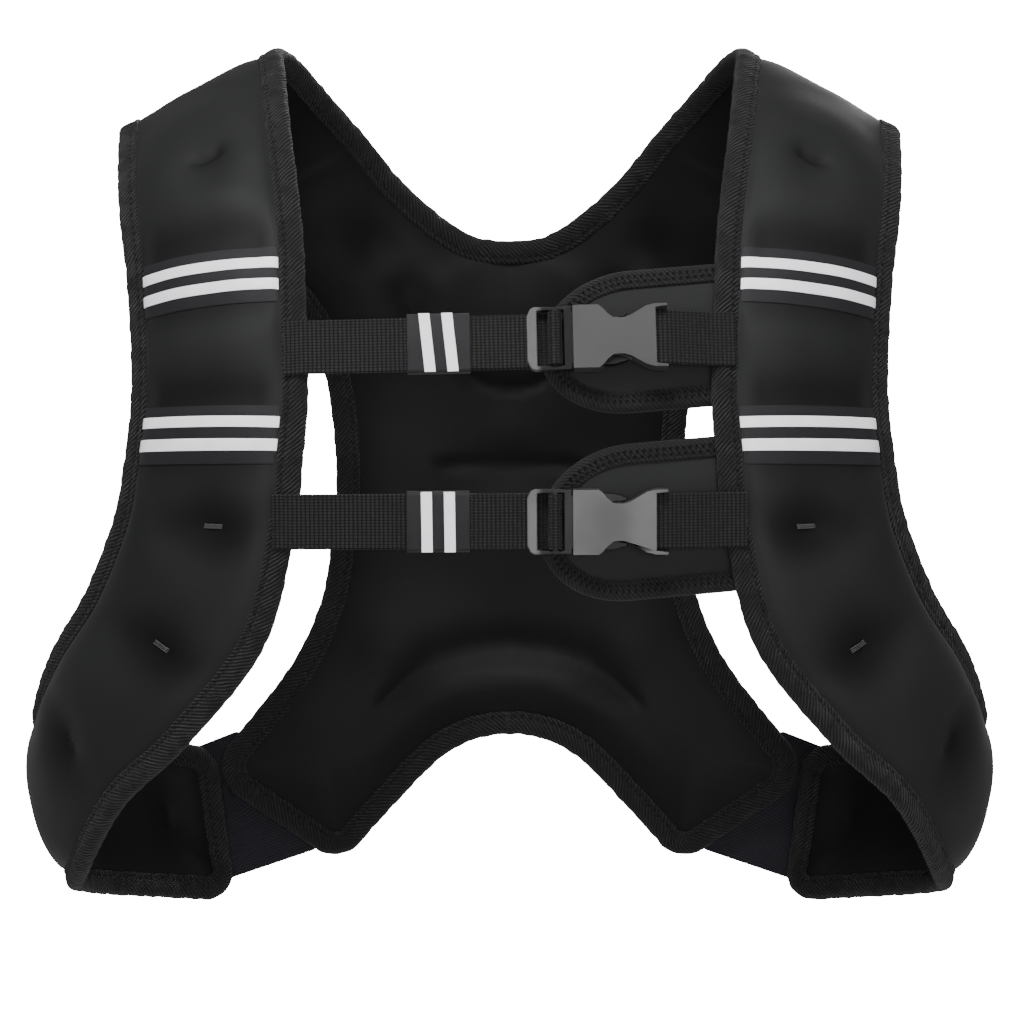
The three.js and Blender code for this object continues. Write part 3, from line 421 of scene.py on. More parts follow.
def webbing_material():
    n = Nodes("webbing", grey(0.02), 0.62, sheen=0.04, specular=0.2)
    u, v = n.uv()
    ribs = n.wave(n.plus(u, n.times(n.noise(300, 1), 0.0003)), 1.95)
    cross = n.wave(v, 1.35)
    cell = n.times(n.ramp(ribs, -0.9, 0.5, 0.12, 1.0), n.ramp(cross, -0.9, 0.4, 0.15, 1.0))
    height = n.plus(cell, n.times(n.noise(1800, 2), 0.35))
    x = n.sideways()
    # Painted shadow: the webbing is darkened almost to black where it lies in the buckle's slot.
    slot_shadow = n.times(n.ramp(x, 0.0085, 0.0100), n.ramp(x, 0.0164, 0.0171, 1.0, 0.0))
    # Painted highlight and painted shade: the yarn crests are light and the gaps between yarns near black.
    colour = n.mix(cell, (0.0018, 0.0019, 0.0019), (0.0122, 0.0126, 0.0124))
    colour = n.mix(n.times(slot_shadow, 0.92), colour, grey(0.001))
    return n.done(colour, n.ramp(cell, 0, 1, 0.8, 0.5), n.bump(height, 0.35, 0.9))


def tape_material():
    n = Nodes("tape", (0.03, 0.03, 0.033), 0.6, sheen=0.05, specular=0.2)
    u, v = n.uv()
    weave = n.times(n.wave(u, 0.8), n.wave(v, 0.8))
    height = n.plus(n.times(weave, 0.4), n.noise(1500, 2))
    # Painted highlight and painted shade: the raised crossings of the weave are lighter and the low ones
    # darker.
    colour = n.mix(n.ramp(weave, -0.8, 0.8), (0.0080, 0.0080, 0.0095), (0.0150, 0.0146, 0.0168))
    return n.done(colour, None, n.bump(height, 0.1, 0.6))


def reflective_material():
    n = Nodes("reflective", (0.72, 0.72, 0.75), 0.38, specular=0.5, sheen=0.0)
    beads = n.noise(5000, 1)
    colour = n.mix(n.ramp(n.noise(90, 2), 0.3, 0.7), (0.86, 0.86, 0.90), (0.92, 0.92, 0.95))
    return n.done(colour, n.ramp(beads, 0.3, 0.7, 0.32, 0.5), n.bump(beads, 0.03, 0.4))


def plastic_material(name, light, dark, specular):
    """Satin acetal, light on the outer bar and the socket, darker where webbing and body shade it."""
    n = Nodes(name, grey(0.06), 0.4, specular=specular)
    grain = n.noise(2600, 2)
    broad = n.noise(45, 2)
    tone = n.mix(n.ramp(n.sideways(), 0.0115, 0.0150), light, dark)
    colour = n.mix(n.times(n.ramp(broad, 0.35, 0.65), 0.12), tone, grey(0.0))
    return n.done(colour, n.ramp(broad, 0.3, 0.7, 0.32, 0.44), n.bump(grain, 0.03, 0.4))


def elastic_material():
    n = Nodes("elastic", (0.012, 0.011, 0.016), 0.75, sheen=0.04, specular=0.12)
    u, v = n.uv()
    ribs = n.wave(v, 1.3)
    height = n.plus(n.times(ribs, 0.5), n.times(n.wave(u, 0.9), 0.2))
    # Painted highlight and painted shade: the rib crests are lighter and the grooves darker.
    colour = n.mix(n.ramp(ribs, -0.8, 0.8), (0.0068, 0.0064, 0.0086), (0.0145, 0.0134, 0.0184))
    return n.done(colour, None, n.bump(n.plus(height, n.noise(900, 2)), 0.2, 0.7))


def thread_material():
    n = Nodes("thread", (0.03, 0.03, 0.03), 0.5, sheen=0.1, specular=0.4)
    u, v = n.uv()
    twist = n.wave(n.plus(u, v), 0.6)
    # Painted highlight and painted shade: the crests of the twist are lighter and the grooves darker.
    colour = n.mix(n.ramp(twist, -1, 1), grey(0.02), grey(0.075))
    return n.done(colour, None, n.bump(twist, 0.08, 0.8))


MATERIALS = {
    "neoprene": neoprene_material(),
    "binding": binding_material("binding", 14.4, 10.6, 1.0, grey(0.0050)),
    # The flap's binding has weaker painted rib highlights and lighter painted shade in its grooves.
    "flap_binding": binding_material("flap_binding", 12.1, 9.0, 0.4, grey(0.0085), 5.6),
    "webbing": webbing_material(),
    "tape": tape_material(),
    "reflective": reflective_material(),
    "plastic": plastic_material("plastic", grey(0.038), grey(0.038), 0.4),
    "plastic_frame": plastic_material("plastic_frame", (0.104, 0.104, 0.107), grey(0.006), 0.15),
    "elastic": elastic_material(),
    "thread": thread_material(),
}

# ---- the bound edge of the left half
# Radii of the shell's rounded corners, at its first and last row
CORNERS = {0: {"in": 13.0, "out": 19.0}, LAST: {"in": 15.0, "out": 12.0}}
EDGE_STEP, JOIN = 1.9, 0.03


def square_to(tangent, normal, towards):
    """Unit vectors square to a line and to its normal, on the side of towards."""
    square = unit(np.cross(tangent, normal))
    return square * np.sign((square * towards).sum(1, keepdims=True))


def side_run(side, start, stop):
    """Points on one long edge, with the way into the shell."""
    row = np.linspace(start, stop, max(int(abs(stop - start) * 24), 8))
    place = edge(side, row)
    normal = normal_at(row, np.zeros_like(row) if side == "in" else np.ones_like(row))
    across = edge("out", row) - edge("in", row)
    towards = across if side == "in" else -across
    return place, square_to(unit(np.gradient(place, axis=0)), normal, towards), normal


def row_at_distance(side, end, distance):
    """The row where a long edge is at a distance from one end of the shell."""
    row = np.linspace(0, 1.5, 300) if end == 0 else np.linspace(LAST, LAST - 1.5, 300)
    place = edge(side, row)
    length = run_length(place)
    return float(np.interp(distance, length, row))


def end_run(end):
    """The end of the shell from its inner to its outer side, with both corners rounded."""
    inner_row = {side: row_at_distance(side, end, CORNERS[end][side]) for side in ("in", "out")}
    width = width_at(end)
    shares = {"in": CORNERS[end]["in"] / width, "out": 1 - CORNERS[end]["out"] / width}
    places, inwards, normals = [], [], []
    for side in ("in", "out"):
        sharp = edge(side, float(end))
        along_side = edge(side, inner_row[side]) - sharp
        along_end = middle(float(end), shares[side]) - sharp
        centre = sharp + along_side + along_end
        across = 0.0 if side == "in" else 1.0
        normal = normal_at(float(end), across)
        angles = np.linspace(0, math.pi / 2, 12)
        arc = [sharp + along_side * (1 - math.sin(a)) + along_end * (1 - math.cos(a)) for a in angles]
        arc = np.array(arc)
        places.append(arc[:-1] if side == "in" else arc[::-1][1:])
        inwards.append(unit(centre - places[-1]))
        normals.append(np.repeat(normal[None], len(places[-1]), 0))
        if side == "in":
            share = np.linspace(shares["in"], shares["out"], 40)
            place = middle(float(end), share)
            towards = middle(float(end) + (0.3 if end == 0 else -0.3), share) - place
            normal = normal_at(float(end), share)
            places.append(place)
            inwards.append(square_to(unit(np.gradient(place, axis=0)), normal, towards))
            normals.append(normal)
    return np.concatenate(places), np.concatenate(inwards), np.concatenate(normals), inner_row


start_end, last_end = end_run(0), end_run(LAST)
pieces_of_edge = [
    side_run("in", ARCH, start_end[3]["in"] + JOIN),
    start_end[:3],
    side_run("out", start_end[3]["out"] + JOIN, last_end[3]["out"] - JOIN),
    tuple(part[::-1] for part in last_end[:3]),
    side_run("in", last_end[3]["in"] - JOIN, NECK + 1e-6),
]
edge_places = np.concatenate([p[0] for p in pieces_of_edge])
edge_inward = np.concatenate([p[1] for p in pieces_of_edge])
edge_normal = np.concatenate([p[2] for p in pieces_of_edge])
edge_inward[0], edge_inward[-1] = (0, 0, 1), (0, 0, -1)
edge_places[0, 0] = edge_places[-1, 0] = 0
for k in (0, -1):
    edge_normal[k, 0] = 0
    leaning = (edge_inward[k] @ edge_normal[k]) / max(edge_normal[k] @ edge_normal[k], 1e-9)
    edge_inward[k] -= edge_normal[k] * leaning
edge_places, edge_inward, edge_normal, _ = resample(
    edge_places, EDGE_STEP, unit(edge_inward), unit(edge_normal)
)
loop_places = np.concatenate([edge_places, (edge_places * MIRROR)[1:-1][::-1]])
loop_inward = np.concatenate([edge_inward, (edge_inward * MIRROR)[1:-1][::-1]])
loop_normal = np.concatenate([edge_normal, (edge_normal * MIRROR)[1:-1][::-1]])
for _ in range(3):
    loop_inward = unit(loop_inward * 2 + np.roll(loop_inward, 1, 0) + np.roll(loop_inward, -1, 0))
    loop_normal = unit(loop_normal * 2 + np.roll(loop_normal, 1, 0) + np.roll(loop_normal, -1, 0))
loop_lengths = run_length(loop_places)


def puckers(lengths, seed, periods=(17, 11, 8, 6.3)):
    """Small uneven pulls along a sewn edge; the periods are in millimetres."""
    source = np.random.default_rng(seed)
    total = np.zeros_like(lengths)
    for period in periods:
        total += np.sin(lengths * 2 * math.pi / period + source.uniform(0, 7)) * source.uniform(0.7, 1.1)
    return total / len(periods)


EDGE_TREE = kdtree.KDTree(len(loop_places))
for k, place in enumerate(loop_places):
    EDGE_TREE.insert(place, k)
EDGE_TREE.balance()

# ---- the padded shell
# Each tack's row, share across, radius and depth of its dent, half length and lean of its slit
TACKS = [
    (17.3, 0.44, 14, 0.42, 5.0, 0.03),
    (24.06, 0.39, 20, 0.74, 4.4, -0.004),
    (25.28, 0.42, 20, 0.74, 4.6, -0.022),
    (26.75, 0.47, 17, 0.7, 5.0, -0.05),
    (30, 0.52, 16, 0.5, 4.0, 0.0),
]
CHANNEL_REACH, CHANNEL_RADIUS, CHANNEL_DEPTH = 5, 11, 0.28
# The row where each tape starts, and what it pinches: rows from there, radius and depth
TAPE_ROWS = {"upper": 19.12, "lower": 22.05}
TAPE_HOLLOWS = [(0.5, 13, 0.3), (-0.2, 13, 0.62), (1.1, 10, 0.36)]
# Sewn lines on the right half of the back panel's face: radius, depth, and x, z as shares of the sizes
SEAMS = [
    (14, 0.62, [(0, -0.4165), (0.12, -0.4165), (0.205, -0.4185)]),
    (11, 0.85, [
        (0, -0.6375), (0.1, -0.6435), (0.18, -0.6555), (0.25, -0.6785), (0.30, -0.7005), (0.336, -0.7205),
    ]),
    (10, 0.3, [
        (0, -0.3215), (0.04, -0.3205), (0.085, -0.3135), (0.145, -0.29), (0.21, -0.255), (0.2725, -0.2035),
    ]),
]
# Soft hollows in the back panel as x, z, radius and depth, the roll over the arch, and a fold inside the wing
DIMPLES = [(65, -60, 15, 0.75), (49, -83, 12, 0.7), (0, -138, 15, 0.25)]
ROLL = [(0, -279), (20, -281), (38, -287), (54, -297), (70, -311), (84, -328)]
WING_CREASE = [(171, 88, -326), (167, 88, -349)]


def to_segments(points, ends):
    """Distance of each point to a broken line."""
    nearest = np.full(points.shape[:-1], 1e9)
    for a, b in zip(ends[:-1], ends[1:]):
        a, b = np.asarray(a, float), np.asarray(b, float)
        share = np.clip(((points - a) @ (b - a)) / max((b - a) @ (b - a), 1e-9), 0, 1)
        nearest = np.minimum(nearest, np.linalg.norm(points - (a + share[..., None] * (b - a)), axis=-1))
    return nearest


def tack_line(row, across, half, lean):
    """Five points on the slightly bowed slit of a tack."""
    width = float(width_at(row))
    steps = np.linspace(-1, 1, 5)
    bow = 0.035 * (1 - steps**2)
    return middle(row + steps * lean + bow, across + steps * half / width)


def dipped(distance, radius, depth):
    return 1 - depth * np.exp(-((distance / radius) ** 2))


def waves(points, scale, seed):
    """Soft rolling unevenness from a few fixed sine waves, level where it crosses the middle line."""
    source = np.random.default_rng(seed)
    total = np.zeros(points.shape[:-1])
    for _ in range(9):
        direction = source.normal(size=3)
        direction *= 2 * math.pi / scale * source.uniform(0.6, 1.5) / np.linalg.norm(direction)
        phase = source.uniform(0, 7)
        total += np.sin(points @ direction + phase) + np.sin((points * MIRROR) @ direction + phase)
    return total / 6


def uneven_outside(places, ramp):
    return (waves(places, 75, 3) * 0.9 + waves(places, 30, 5) * 0.28) * np.clip(ramp * 3, 0, 1)


def fullness(places, rows):
    """The filling's lift, 0 at the binding and 1 in the open, the ramp at the binding, and how deeply each
    point is pinched in, which the neoprene darkens as painted shade.
    """
    flat = places.reshape(-1, 3)
    to_edge = np.array([EDGE_TREE.find(p)[2] for p in flat]).reshape(places.shape[:-1])
    on_back = np.clip((12 - rows) / 3, 0, 1)
    ramp = np.clip((to_edge - BINDING_WIDTH + 0.6) / (30 + 8 * on_back), 0, 1)
    crest = middle(np.array([15.0, 15.0]), np.array([0.0, 1.0]))
    full = (1 - (1 - ramp) ** 2) ** (0.6 + 0.3 * on_back) * dipped(to_segments(places, crest), 40, 0.75)
    unpinched = np.maximum(full, 1e-3)
    for row, across, radius, depth, half, lean in TACKS:
        line = tack_line(row, across, half, lean)
        apart = np.linalg.norm(places - line.mean(0), axis=-1)
        full = full * dipped(apart, radius, depth) * dipped(to_segments(places, line), 2.6, 0.5)
    for row, across, _, _, half, lean in TACKS[1:4]:
        channel = tack_line(row, across, CHANNEL_REACH * half, CHANNEL_REACH * lean)
        full = full * dipped(to_segments(places, channel), CHANNEL_RADIUS, CHANNEL_DEPTH)
    for row in TAPE_ROWS.values():
        for offset, radius, depth in TAPE_HOLLOWS:
            line = middle(np.full(5, row + offset), np.linspace(0.24, 0.76, 5))
            full = full * dipped(to_segments(places, line), radius, depth)
    flat_places = places * FLAT
    on_panel = rows < NECK + 4
    for radius, depth, points in SEAMS:
        ends = [(x * HALF_WIDTH, 0, z * HEIGHT) for x, z in points]
        apart = to_segments(flat_places, ends)
        near_end = np.linalg.norm(flat_places - np.asarray(ends[-1], float), axis=-1)
        broad, narrow = np.clip(near_end / 38, 0.05, 1), np.clip(near_end / 12, 0.15, 1)
        sewn = dipped(apart, radius, depth * broad) * dipped(apart, 2.6, 0.66 * narrow)
        full = np.where(on_panel, full * sewn, full)
    for x, z, radius, depth in DIMPLES:
        apart = np.linalg.norm(flat_places - np.array([x, 0, z]), axis=-1)
        full = np.where(on_panel, full * dipped(apart, radius, depth), full)
    crease = to_segments(places, WING_CREASE)
    full = full * dipped(crease, 13, 0.35) * dipped(crease, 4.5, 0.45)
    return full, ramp, np.clip(1 - full / unpinched, 0, 1) * np.clip(ramp * 3, 0, 1)


samples = np.linspace(0, LAST, 3101)
mid_line = middle(samples, np.full_like(samples, 0.5))
travel = run_length(mid_line)


def rows_between(start, stop, step=2.7):
    low, high = np.interp([start, stop], samples, travel)
    return np.interp(np.linspace(low, high, max(int((high - low) / step), 2) + 1), travel, samples)


shell_rows = np.concatenate([rows_between(0, ARCH, 2.2), rows_between(ARCH, NECK), rows_between(NECK, LAST)])
shell_rows = np.unique(shell_rows.round(6))
MARGIN, BODY = 3, 30
shares = np.linspace(0, 1, BODY + 1)
shares = 0.55 * shares + 0.45 * (0.5 - 0.5 * np.cos(np.pi * shares))


def corner_offset(distance, radius):
    """How far a rounded corner takes the edge in at a distance from the shell's end."""
    left = np.clip(1 - distance / radius, 0, 1)
    return radius * (1 - np.sqrt(1 - left**2))


def shell_shares():
    """Shares across the shell for each row, close together under the binding."""
    all_shares = []
    widths = width_at(shell_rows)
    for row, width in zip(shell_rows, widths):
        limits = [0.0, 1.0]
        for end in (0, LAST):
            if abs(row - end) < 1.5:
                for k, side in enumerate(("in", "out")):
                    run = np.linspace(end, row, 20)
                    distance = np.linalg.norm(np.diff(edge(side, run), axis=0), axis=1).sum()
                    cut = corner_offset(distance, CORNERS[end][side]) / width
                    limits[k] += cut if k == 0 else -cut
        margin = BINDING_WIDTH / width
        centred = ARCH < row < NECK
        first = limits[0] + (margin * (0.35 if centred else 1.0))
        second = limits[1] - margin
        row_shares = np.concatenate([
            np.linspace(limits[0], first, MARGIN + 1)[:-1],
            first + (second - first) * shares,
            np.linspace(second, limits[1], MARGIN + 1)[1:],
        ])
        all_shares.append(row_shares)
    return np.array(all_shares)


# Half the thickness where the shell is sewn flat, and how far the filling lifts its faces from there; the
# inner face has one rise on the back panel and one on the rest
SEWN_HALF, OUTER_RISE, INNER_RISE, ROLL_RISE = 2, 8.5, (7.6, 6.5), 4.5
across_grid = shell_shares()
row_grid = np.repeat(shell_rows[:, None], across_grid.shape[1], 1)
shell_places = middle(row_grid, across_grid)
shell_normals = normal_at(row_grid, across_grid)
for _ in range(2):
    smoothed = shell_normals.copy()
    smoothed[1:-1] += shell_normals[:-2] + shell_normals[2:]
    smoothed[:, 1:-1] += shell_normals[:, :-2] + shell_normals[:, 2:]
    on_centre = (row_grid >= ARCH) & (row_grid <= NECK) & (across_grid == 0)
    smoothed[on_centre, 0] = 0
    shell_normals = unit(smoothed)
shell_full, shell_ramp, shell_hollow_shade = fullness(shell_places, row_grid)
uneven_in = waves(shell_places, 85, 8) * 0.7 + waves(shell_places, 36, 9) * 0.25
uneven_in = uneven_in * np.clip(shell_ramp * 3, 0, 1)
outer_lift = SEWN_HALF + OUTER_RISE * shell_full + uneven_outside(shell_places, shell_ramp)
shell_outer = shell_places + shell_normals * outer_lift[..., None]
inner_rise = np.where(row_grid < NECK + 4, *INNER_RISE)
to_roll = to_segments(shell_places * FLAT, [(x, 0, z) for x, z in ROLL])
roll_height = ROLL_RISE * (0.5 + 0.5 * np.cos(np.pi * np.clip((shell_places[..., 0] - 15) / 70, 0, 1)))
roll = roll_height * np.exp(-((to_roll / 14) ** 2)) * np.clip(shell_ramp * 2.2, 0, 1) * (row_grid < NECK)
inner_lift = SEWN_HALF + inner_rise * shell_full + roll + uneven_in
shell_inner = shell_places - shell_normals * inner_lift[..., None]


def shell_piece():
    count_rows, count = row_grid.shape
    size = count_rows * count
    points, faces, uvs = [], [], []
    step = np.concatenate([[0], np.interp(shell_rows, samples, travel)])[1:]
    widths = width_at(shell_rows)
    uv = np.stack([np.repeat(step[:, None], count, 1), across_grid * widths[:, None]], -1).reshape(-1, 2)
    for flip in (1, -1):
        base = 0 if flip == 1 else 2 * size
        scale = np.array([flip, 1.0, 1.0])
        points += [shell_outer.reshape(-1, 3) * scale, shell_inner.reshape(-1, 3) * scale]
        uvs += [uv, uv]
        quads = grid_faces(count_rows, count)
        faces += [tuple(base + i for i in q) for q in quads]
        faces += [tuple(base + size + i for i in q) for q in quads]
        for i in range(count_rows - 1):
            middle_line = ARCH - 1e-6 <= shell_rows[i] and shell_rows[i + 1] <= NECK + 1e-6
            for column, is_open in ((0, not middle_line), (count - 1, True)):
                if is_open:
                    a, b = base + i * count + column, base + (i + 1) * count + column
                    faces.append((a, b, b + size, a + size))
        for i in (0, count_rows - 1):
            for j in range(count - 1):
                a, b = base + i * count + j, base + i * count + j + 1
                faces.append((a, b, b + size, a + size))
    piece = mesh_object("padded_shell", np.concatenate(points), faces, np.concatenate(uvs))
    # Which points belong to the inner face, coloured darker than the outer face
    inner_face = piece.data.attributes.new("inner_face", "FLOAT", "POINT")
    inner_face.data.foreach_set("value", np.tile(np.repeat([0.0, 1.0], size), 2).astype(np.float32))
    # How deeply each point is pinched in, for the neoprene's painted shade
    hollow_shade = piece.data.attributes.new("hollow_shade", "FLOAT", "POINT")
    hollow_shade.data.foreach_set("value", np.tile(shell_hollow_shade.reshape(-1), 4).astype(np.float32))
    return outwards(piece, 2e-6)


shell = finish(shell_piece(), "neoprene", "neoprene", "vest_body")

# The folded tape's section, as distance inward from the shell's edge and height over its middle
HALF_FOLD = [
    (9.6, 2.2), (9.55, 3.0), (9.0, 3.5), (7.9, 3.55), (7.1, 3.35), (6.3, 3.65), (4.2, 3.95), (2.2, 3.95),
    (0.6, 3.5), (-0.7, 2.5), (-1.45, 1.2),
]
BINDING_PROFILE = HALF_FOLD + [(-1.6, 0)] + [(x, -y) for x, y in HALF_FOLD[::-1]]
BINDING_PROFILE += [(1.0, -2.25), (-0.3, -1.6), (-0.3, 1.6), (1.0, 2.25)]
side_pull, face_pull = 0.42 * puckers(loop_lengths, 21), 0.3 * puckers(loop_lengths, 22)
bound_places = loop_places + loop_inward * side_pull[:, None] + loop_normal * face_pull[:, None]
bound = (bound_places, loop_inward, loop_normal, loop_lengths, BINDING_PROFILE)
binding = sweep("bound_edge", *bound, closed=True)
finish(binding, "binding", "binding", "edge_binding", sharp=60)

# ---- tapes and stripes on the pads
TAPE_INSET, TAPE_WIDTH = 10.2, 25
TAPE_LIFT, TAPE_CROWN = (-0.25, 0.55), 0.25
STRIPE_SHARES, STRIPE_LIFT, STRIPE_CROWN = [(0.195, 0.39), (0.585, 0.785)], (0.45, 1.0), 0.12
STRIPE_OVERLAP = 0.6
BAND_ROWS, BAND_COLUMNS = 9, 41


def on_shell(row, across, lift):
    """Points on the outer face of the left pad."""
    row, across = together(row, across)
    place = middle(row, across)
    full, ramp, _ = fullness(place, row)
    normal = normal_at(row, across)
    raised = SEWN_HALF + OUTER_RISE * full + uneven_outside(place, ramp) + lift
    return place + normal * raised[..., None], normal


def band(row_start, row_end, lift, inset, crown):
    """A closed thin band across the left pad between two rows, from one lift to the other."""
    rows = np.linspace(row_start, row_end, BAND_ROWS)
    widths = width_at(rows)
    share = np.linspace(0, 1, BAND_COLUMNS)
    start, stop = inset / widths, 1 - inset / widths
    across = start[:, None] + (stop - start)[:, None] * share[None]
    row = np.repeat(rows[:, None], BAND_COLUMNS, 1)
    top, normal = on_shell(row, across, lift[1])
    bottom, _ = on_shell(row, across, lift[0])
    inside = np.arange(BAND_ROWS)
    rim = np.minimum(np.minimum(inside, inside[::-1]), 1)
    top = top + normal * (crown * rim)[:, None, None]
    length = share[None] * (stop - start)[:, None] * widths[:, None]
    height = np.repeat(np.linspace(0, TAPE_WIDTH, BAND_ROWS)[:, None], BAND_COLUMNS, 1)
    return slab(top, bottom, np.stack([length, height], -1))


def both_sides(name, built, material, slot, *node, sharp=50):
    """The same piece on the left and mirrored on the right."""
    points, faces, uv = built
    made = []
    for label, scale in (("left", 1.0), ("right", -1.0)):
        piece = outwards(mesh_object(f"{name}_{label}", points * np.array([scale, 1, 1]), faces, uv))
        made.append(finish(piece, material, slot, *[n.format(label) for n in node], sharp=sharp))
    return made


for level, first in TAPE_ROWS.items():
    built = band(first, first + 1, TAPE_LIFT, TAPE_INSET, TAPE_CROWN)
    both_sides(f"woven_tape_{level}", built, "tape", "tape", f"tape_{level}_{{}}")
    for number, (low, high) in enumerate(STRIPE_SHARES, 1):
        built = band(first + low, first + high, STRIPE_LIFT, TAPE_INSET - STRIPE_OVERLAP, STRIPE_CROWN)
        node = f"tape_stripe_{level}_{{}}_{number}"
        both_sides(f"silver_stripe_{level}_{number}", built, "reflective", "reflective", node)

# ---- chest straps
# Lifts over the strap's seat and places along it, in the same steps as the solids
CLEAR, WEB_T, WEB_WIDTH, BIND_T = 0.35, 1.4, 25, 1.2
BINDING_FACE = 2 + CLEAR + BIND_T
REAR = BINDING_FACE + CLEAR + WEB_T / 2
TAIL = REAR + WEB_T + CLEAR
MALE_BACK = TAIL + WEB_T / 2 + CLEAR
MALE_FRONT = MALE_BACK + 4.2
BUCKLE_MID = (MALE_BACK + MALE_FRONT) / 2
SLOT_START = 7.8 + 4.5
BAR_START = SLOT_START + 6.6
BAR_END = BAR_START + 2.9
REAR_SLOT_END = BAR_END + 2.4
FEMALE_START = REAR_SLOT_END + 4.2
FEMALE_END = FEMALE_START + 42.5
SEAT_START = FEMALE_END - 5.2 - 4.4
# Each strap's name, row, tilt, its flap's top and bottom from that row, and the slant of its keeper's stripes
STRAPS = [("upper", 20.88, 1.3, 35, -29, -0.09), ("lower", 24, 0.3, 33, -36, -0.01)]
TAB, TAB_LIFT = 9, REAR - 1.6
KEEPER_AT, KEEPER_LONG, KEEPER_SKIN = -32.0, 28.0, 0.45


def fillet(points, radius, steps=4):
    points = [np.asarray(p, float) for p in points]
    made = [points[0]]
    for a, b, c in zip(points[:-2], points[1:-1], points[2:]):
        before, after = a - b, c - b
        reach = min(radius, 0.45 * np.linalg.norm(before), 0.45 * np.linalg.norm(after))
        start, end = b + unit(before) * reach, b + unit(after) * reach
        for k in range(steps + 1):
            t = k / steps
            made.append((1 - t) ** 2 * start + 2 * t * (1 - t) * b + t * t * end)
    made.append(points[-1])
    return np.array(made)


def flat_profile(width, thickness):
    """A woven band's section, with rounded selvedges a little thicker than its middle."""
    w, t = width / 2, thickness / 2
    across = np.linspace(-w + 1.2, w - 1.2, 9)
    top = [(x, t * 0.94) for x in across]
    end = [(w - 0.7, t * 1.0), (w - 0.15, t * 0.75), (w, 0), (w - 0.15, -t * 0.75), (w - 0.7, -t)]
    return top + end + [(x, -t * 0.94) for x in across[::-1]] + [(-x, y) for x, y in end[::-1]]


def strap_frame(row, tilt):
    place = edge("in", float(row))
    slope = unit(edge("in", row + PROBE) - edge("in", row - PROBE))
    turn_x = math.atan2(slope[1], -slope[2])
    turn = Matrix.Rotation(turn_x, 3, "X") @ Matrix.Rotation(math.radians(-tilt), 3, "Y")
    return place, np.array(turn)


def strap_sweep(name, at, local, along, facing, lengths, profile, closed=False):
    """Sweep through stations that are given in a strap's own frame."""
    place, turn = at
    along = np.tile(along, (len(local), 1)) @ turn.T
    local = local @ turn.T + np.array([0, place[1], place[2]])
    return sweep(name, local, along, facing @ turn.T, lengths, profile, closed)


def ribbon(name, at, path):
    """Webbing on its edge along a path of (x, lift)."""
    fine, lengths = resample(np.asarray(path), 1.6)
    tangent = unit(np.gradient(fine, axis=0))
    local = np.stack([fine[:, 0], -fine[:, 1], 0 * lengths], 1)
    facing = np.stack([-tangent[:, 1], -tangent[:, 0], 0 * lengths], 1)
    return strap_sweep(name, at, local, [0, 0, 1.0], facing, lengths, flat_profile(WEB_WIDTH, WEB_T))


def keeper_piece(name, at):
    gap = WEB_T / 2 + CLEAR + KEEPER_SKIN
    back, front, half = REAR - gap, TAIL + gap, WEB_WIDTH / 2 + CLEAR + KEEPER_SKIN
    corners = [(0, front), (half, front), (half, back), (-half, back), (-half, front), (0, front)]
    path = fillet(corners, 1.6, 5)[:-1]
    local = np.stack([np.full(len(path), KEEPER_AT), -path[:, 1], path[:, 0]], 1)
    centre = np.array([KEEPER_AT, -(back + front) / 2, 0])
    tangent = unit(np.roll(local, -1, 0) - np.roll(local, 1, 0))
    facing = square_to(tangent, [1.0, 0, 0], local - centre)
    half_long = KEEPER_LONG / 2
    steps = np.linspace(-half_long, half_long, 9)
    profile = [(x, KEEPER_SKIN) for x in steps] + [(half_long + 0.1, 0)]
    profile += [(x, -KEEPER_SKIN) for x in steps[::-1]] + [(-half_long - 0.1, 0)]
    return strap_sweep(name, at, local, [1.0, 0, 0], facing, run_length(path), profile, closed=True)


def keeper_stripe(name, at, side, slant):
    front = TAIL + WEB_T / 2 + CLEAR + 2 * KEEPER_SKIN
    x = KEEPER_AT + side * 5.15
    heights = np.linspace(-13.6, 13.6, 15)
    local = np.stack([x + slant * heights, np.full(15, -front), heights], 1)
    facing = np.tile([0, -1.0, 0], (15, 1))
    profile = [(-2.5, 0.0), (-2.45, 0.28), (-1.2, 0.36), (0, 0.38), (1.2, 0.36), (2.45, 0.28), (2.5, 0.0)]
    return strap_sweep(name, at, local, [1.0, 0, 0], facing, heights + 14, profile)


def rounded_buckle(node, width_mm, material):
    """The buckle's moulded half with softened edges."""
    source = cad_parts[node]
    piece = bpy.data.objects.new("moulded_" + node, source.data.copy())
    bpy.context.collection.objects.link(piece)
    work = bmesh.new()
    work.from_mesh(piece.data)
    bmesh.ops.remove_doubles(work, verts=work.verts, dist=1e-5)
    bmesh.ops.dissolve_limit(work, angle_limit=math.radians(3), verts=work.verts, edges=work.edges)
    work.to_mesh(piece.data)
    work.free()
    auto_smooth(piece, 35)
    bevel = piece.modifiers.new("bevel", "BEVEL")
    bevel.width = width_mm * MM
    bevel.segments = 3
    bevel.limit_method = "ANGLE"
    bevel.angle_limit = math.radians(32)
    bevel.harden_normals = True
    bpy.context.view_layer.update()
    graph = bpy.context.evaluated_depsgraph_get()
    piece.data = bpy.data.meshes.new_from_object(piece.evaluated_get(graph))
    piece.modifiers.clear()
    return finish(piece, material, "plastic", node)


row_table = np.linspace(16, 29, 1300)
height_table = edge("in", row_table)[:, 2]


def row_at_height(height):
    return np.interp(-np.asarray(height, float), -height_table, row_table)


FLAP_DEPTH = BINDING_FACE + 3 * CLEAR + 2.5
FLAP_HALF, FLAP_TIP, FLAP_TIP_LONG, FLAP_ROOT = 1.5, 15.5, 40, 9
FORWARDS = np.array([-1.0, -0.1, 0])
FLAP_LEAN, FLAP_PIVOT = 0.09, 50


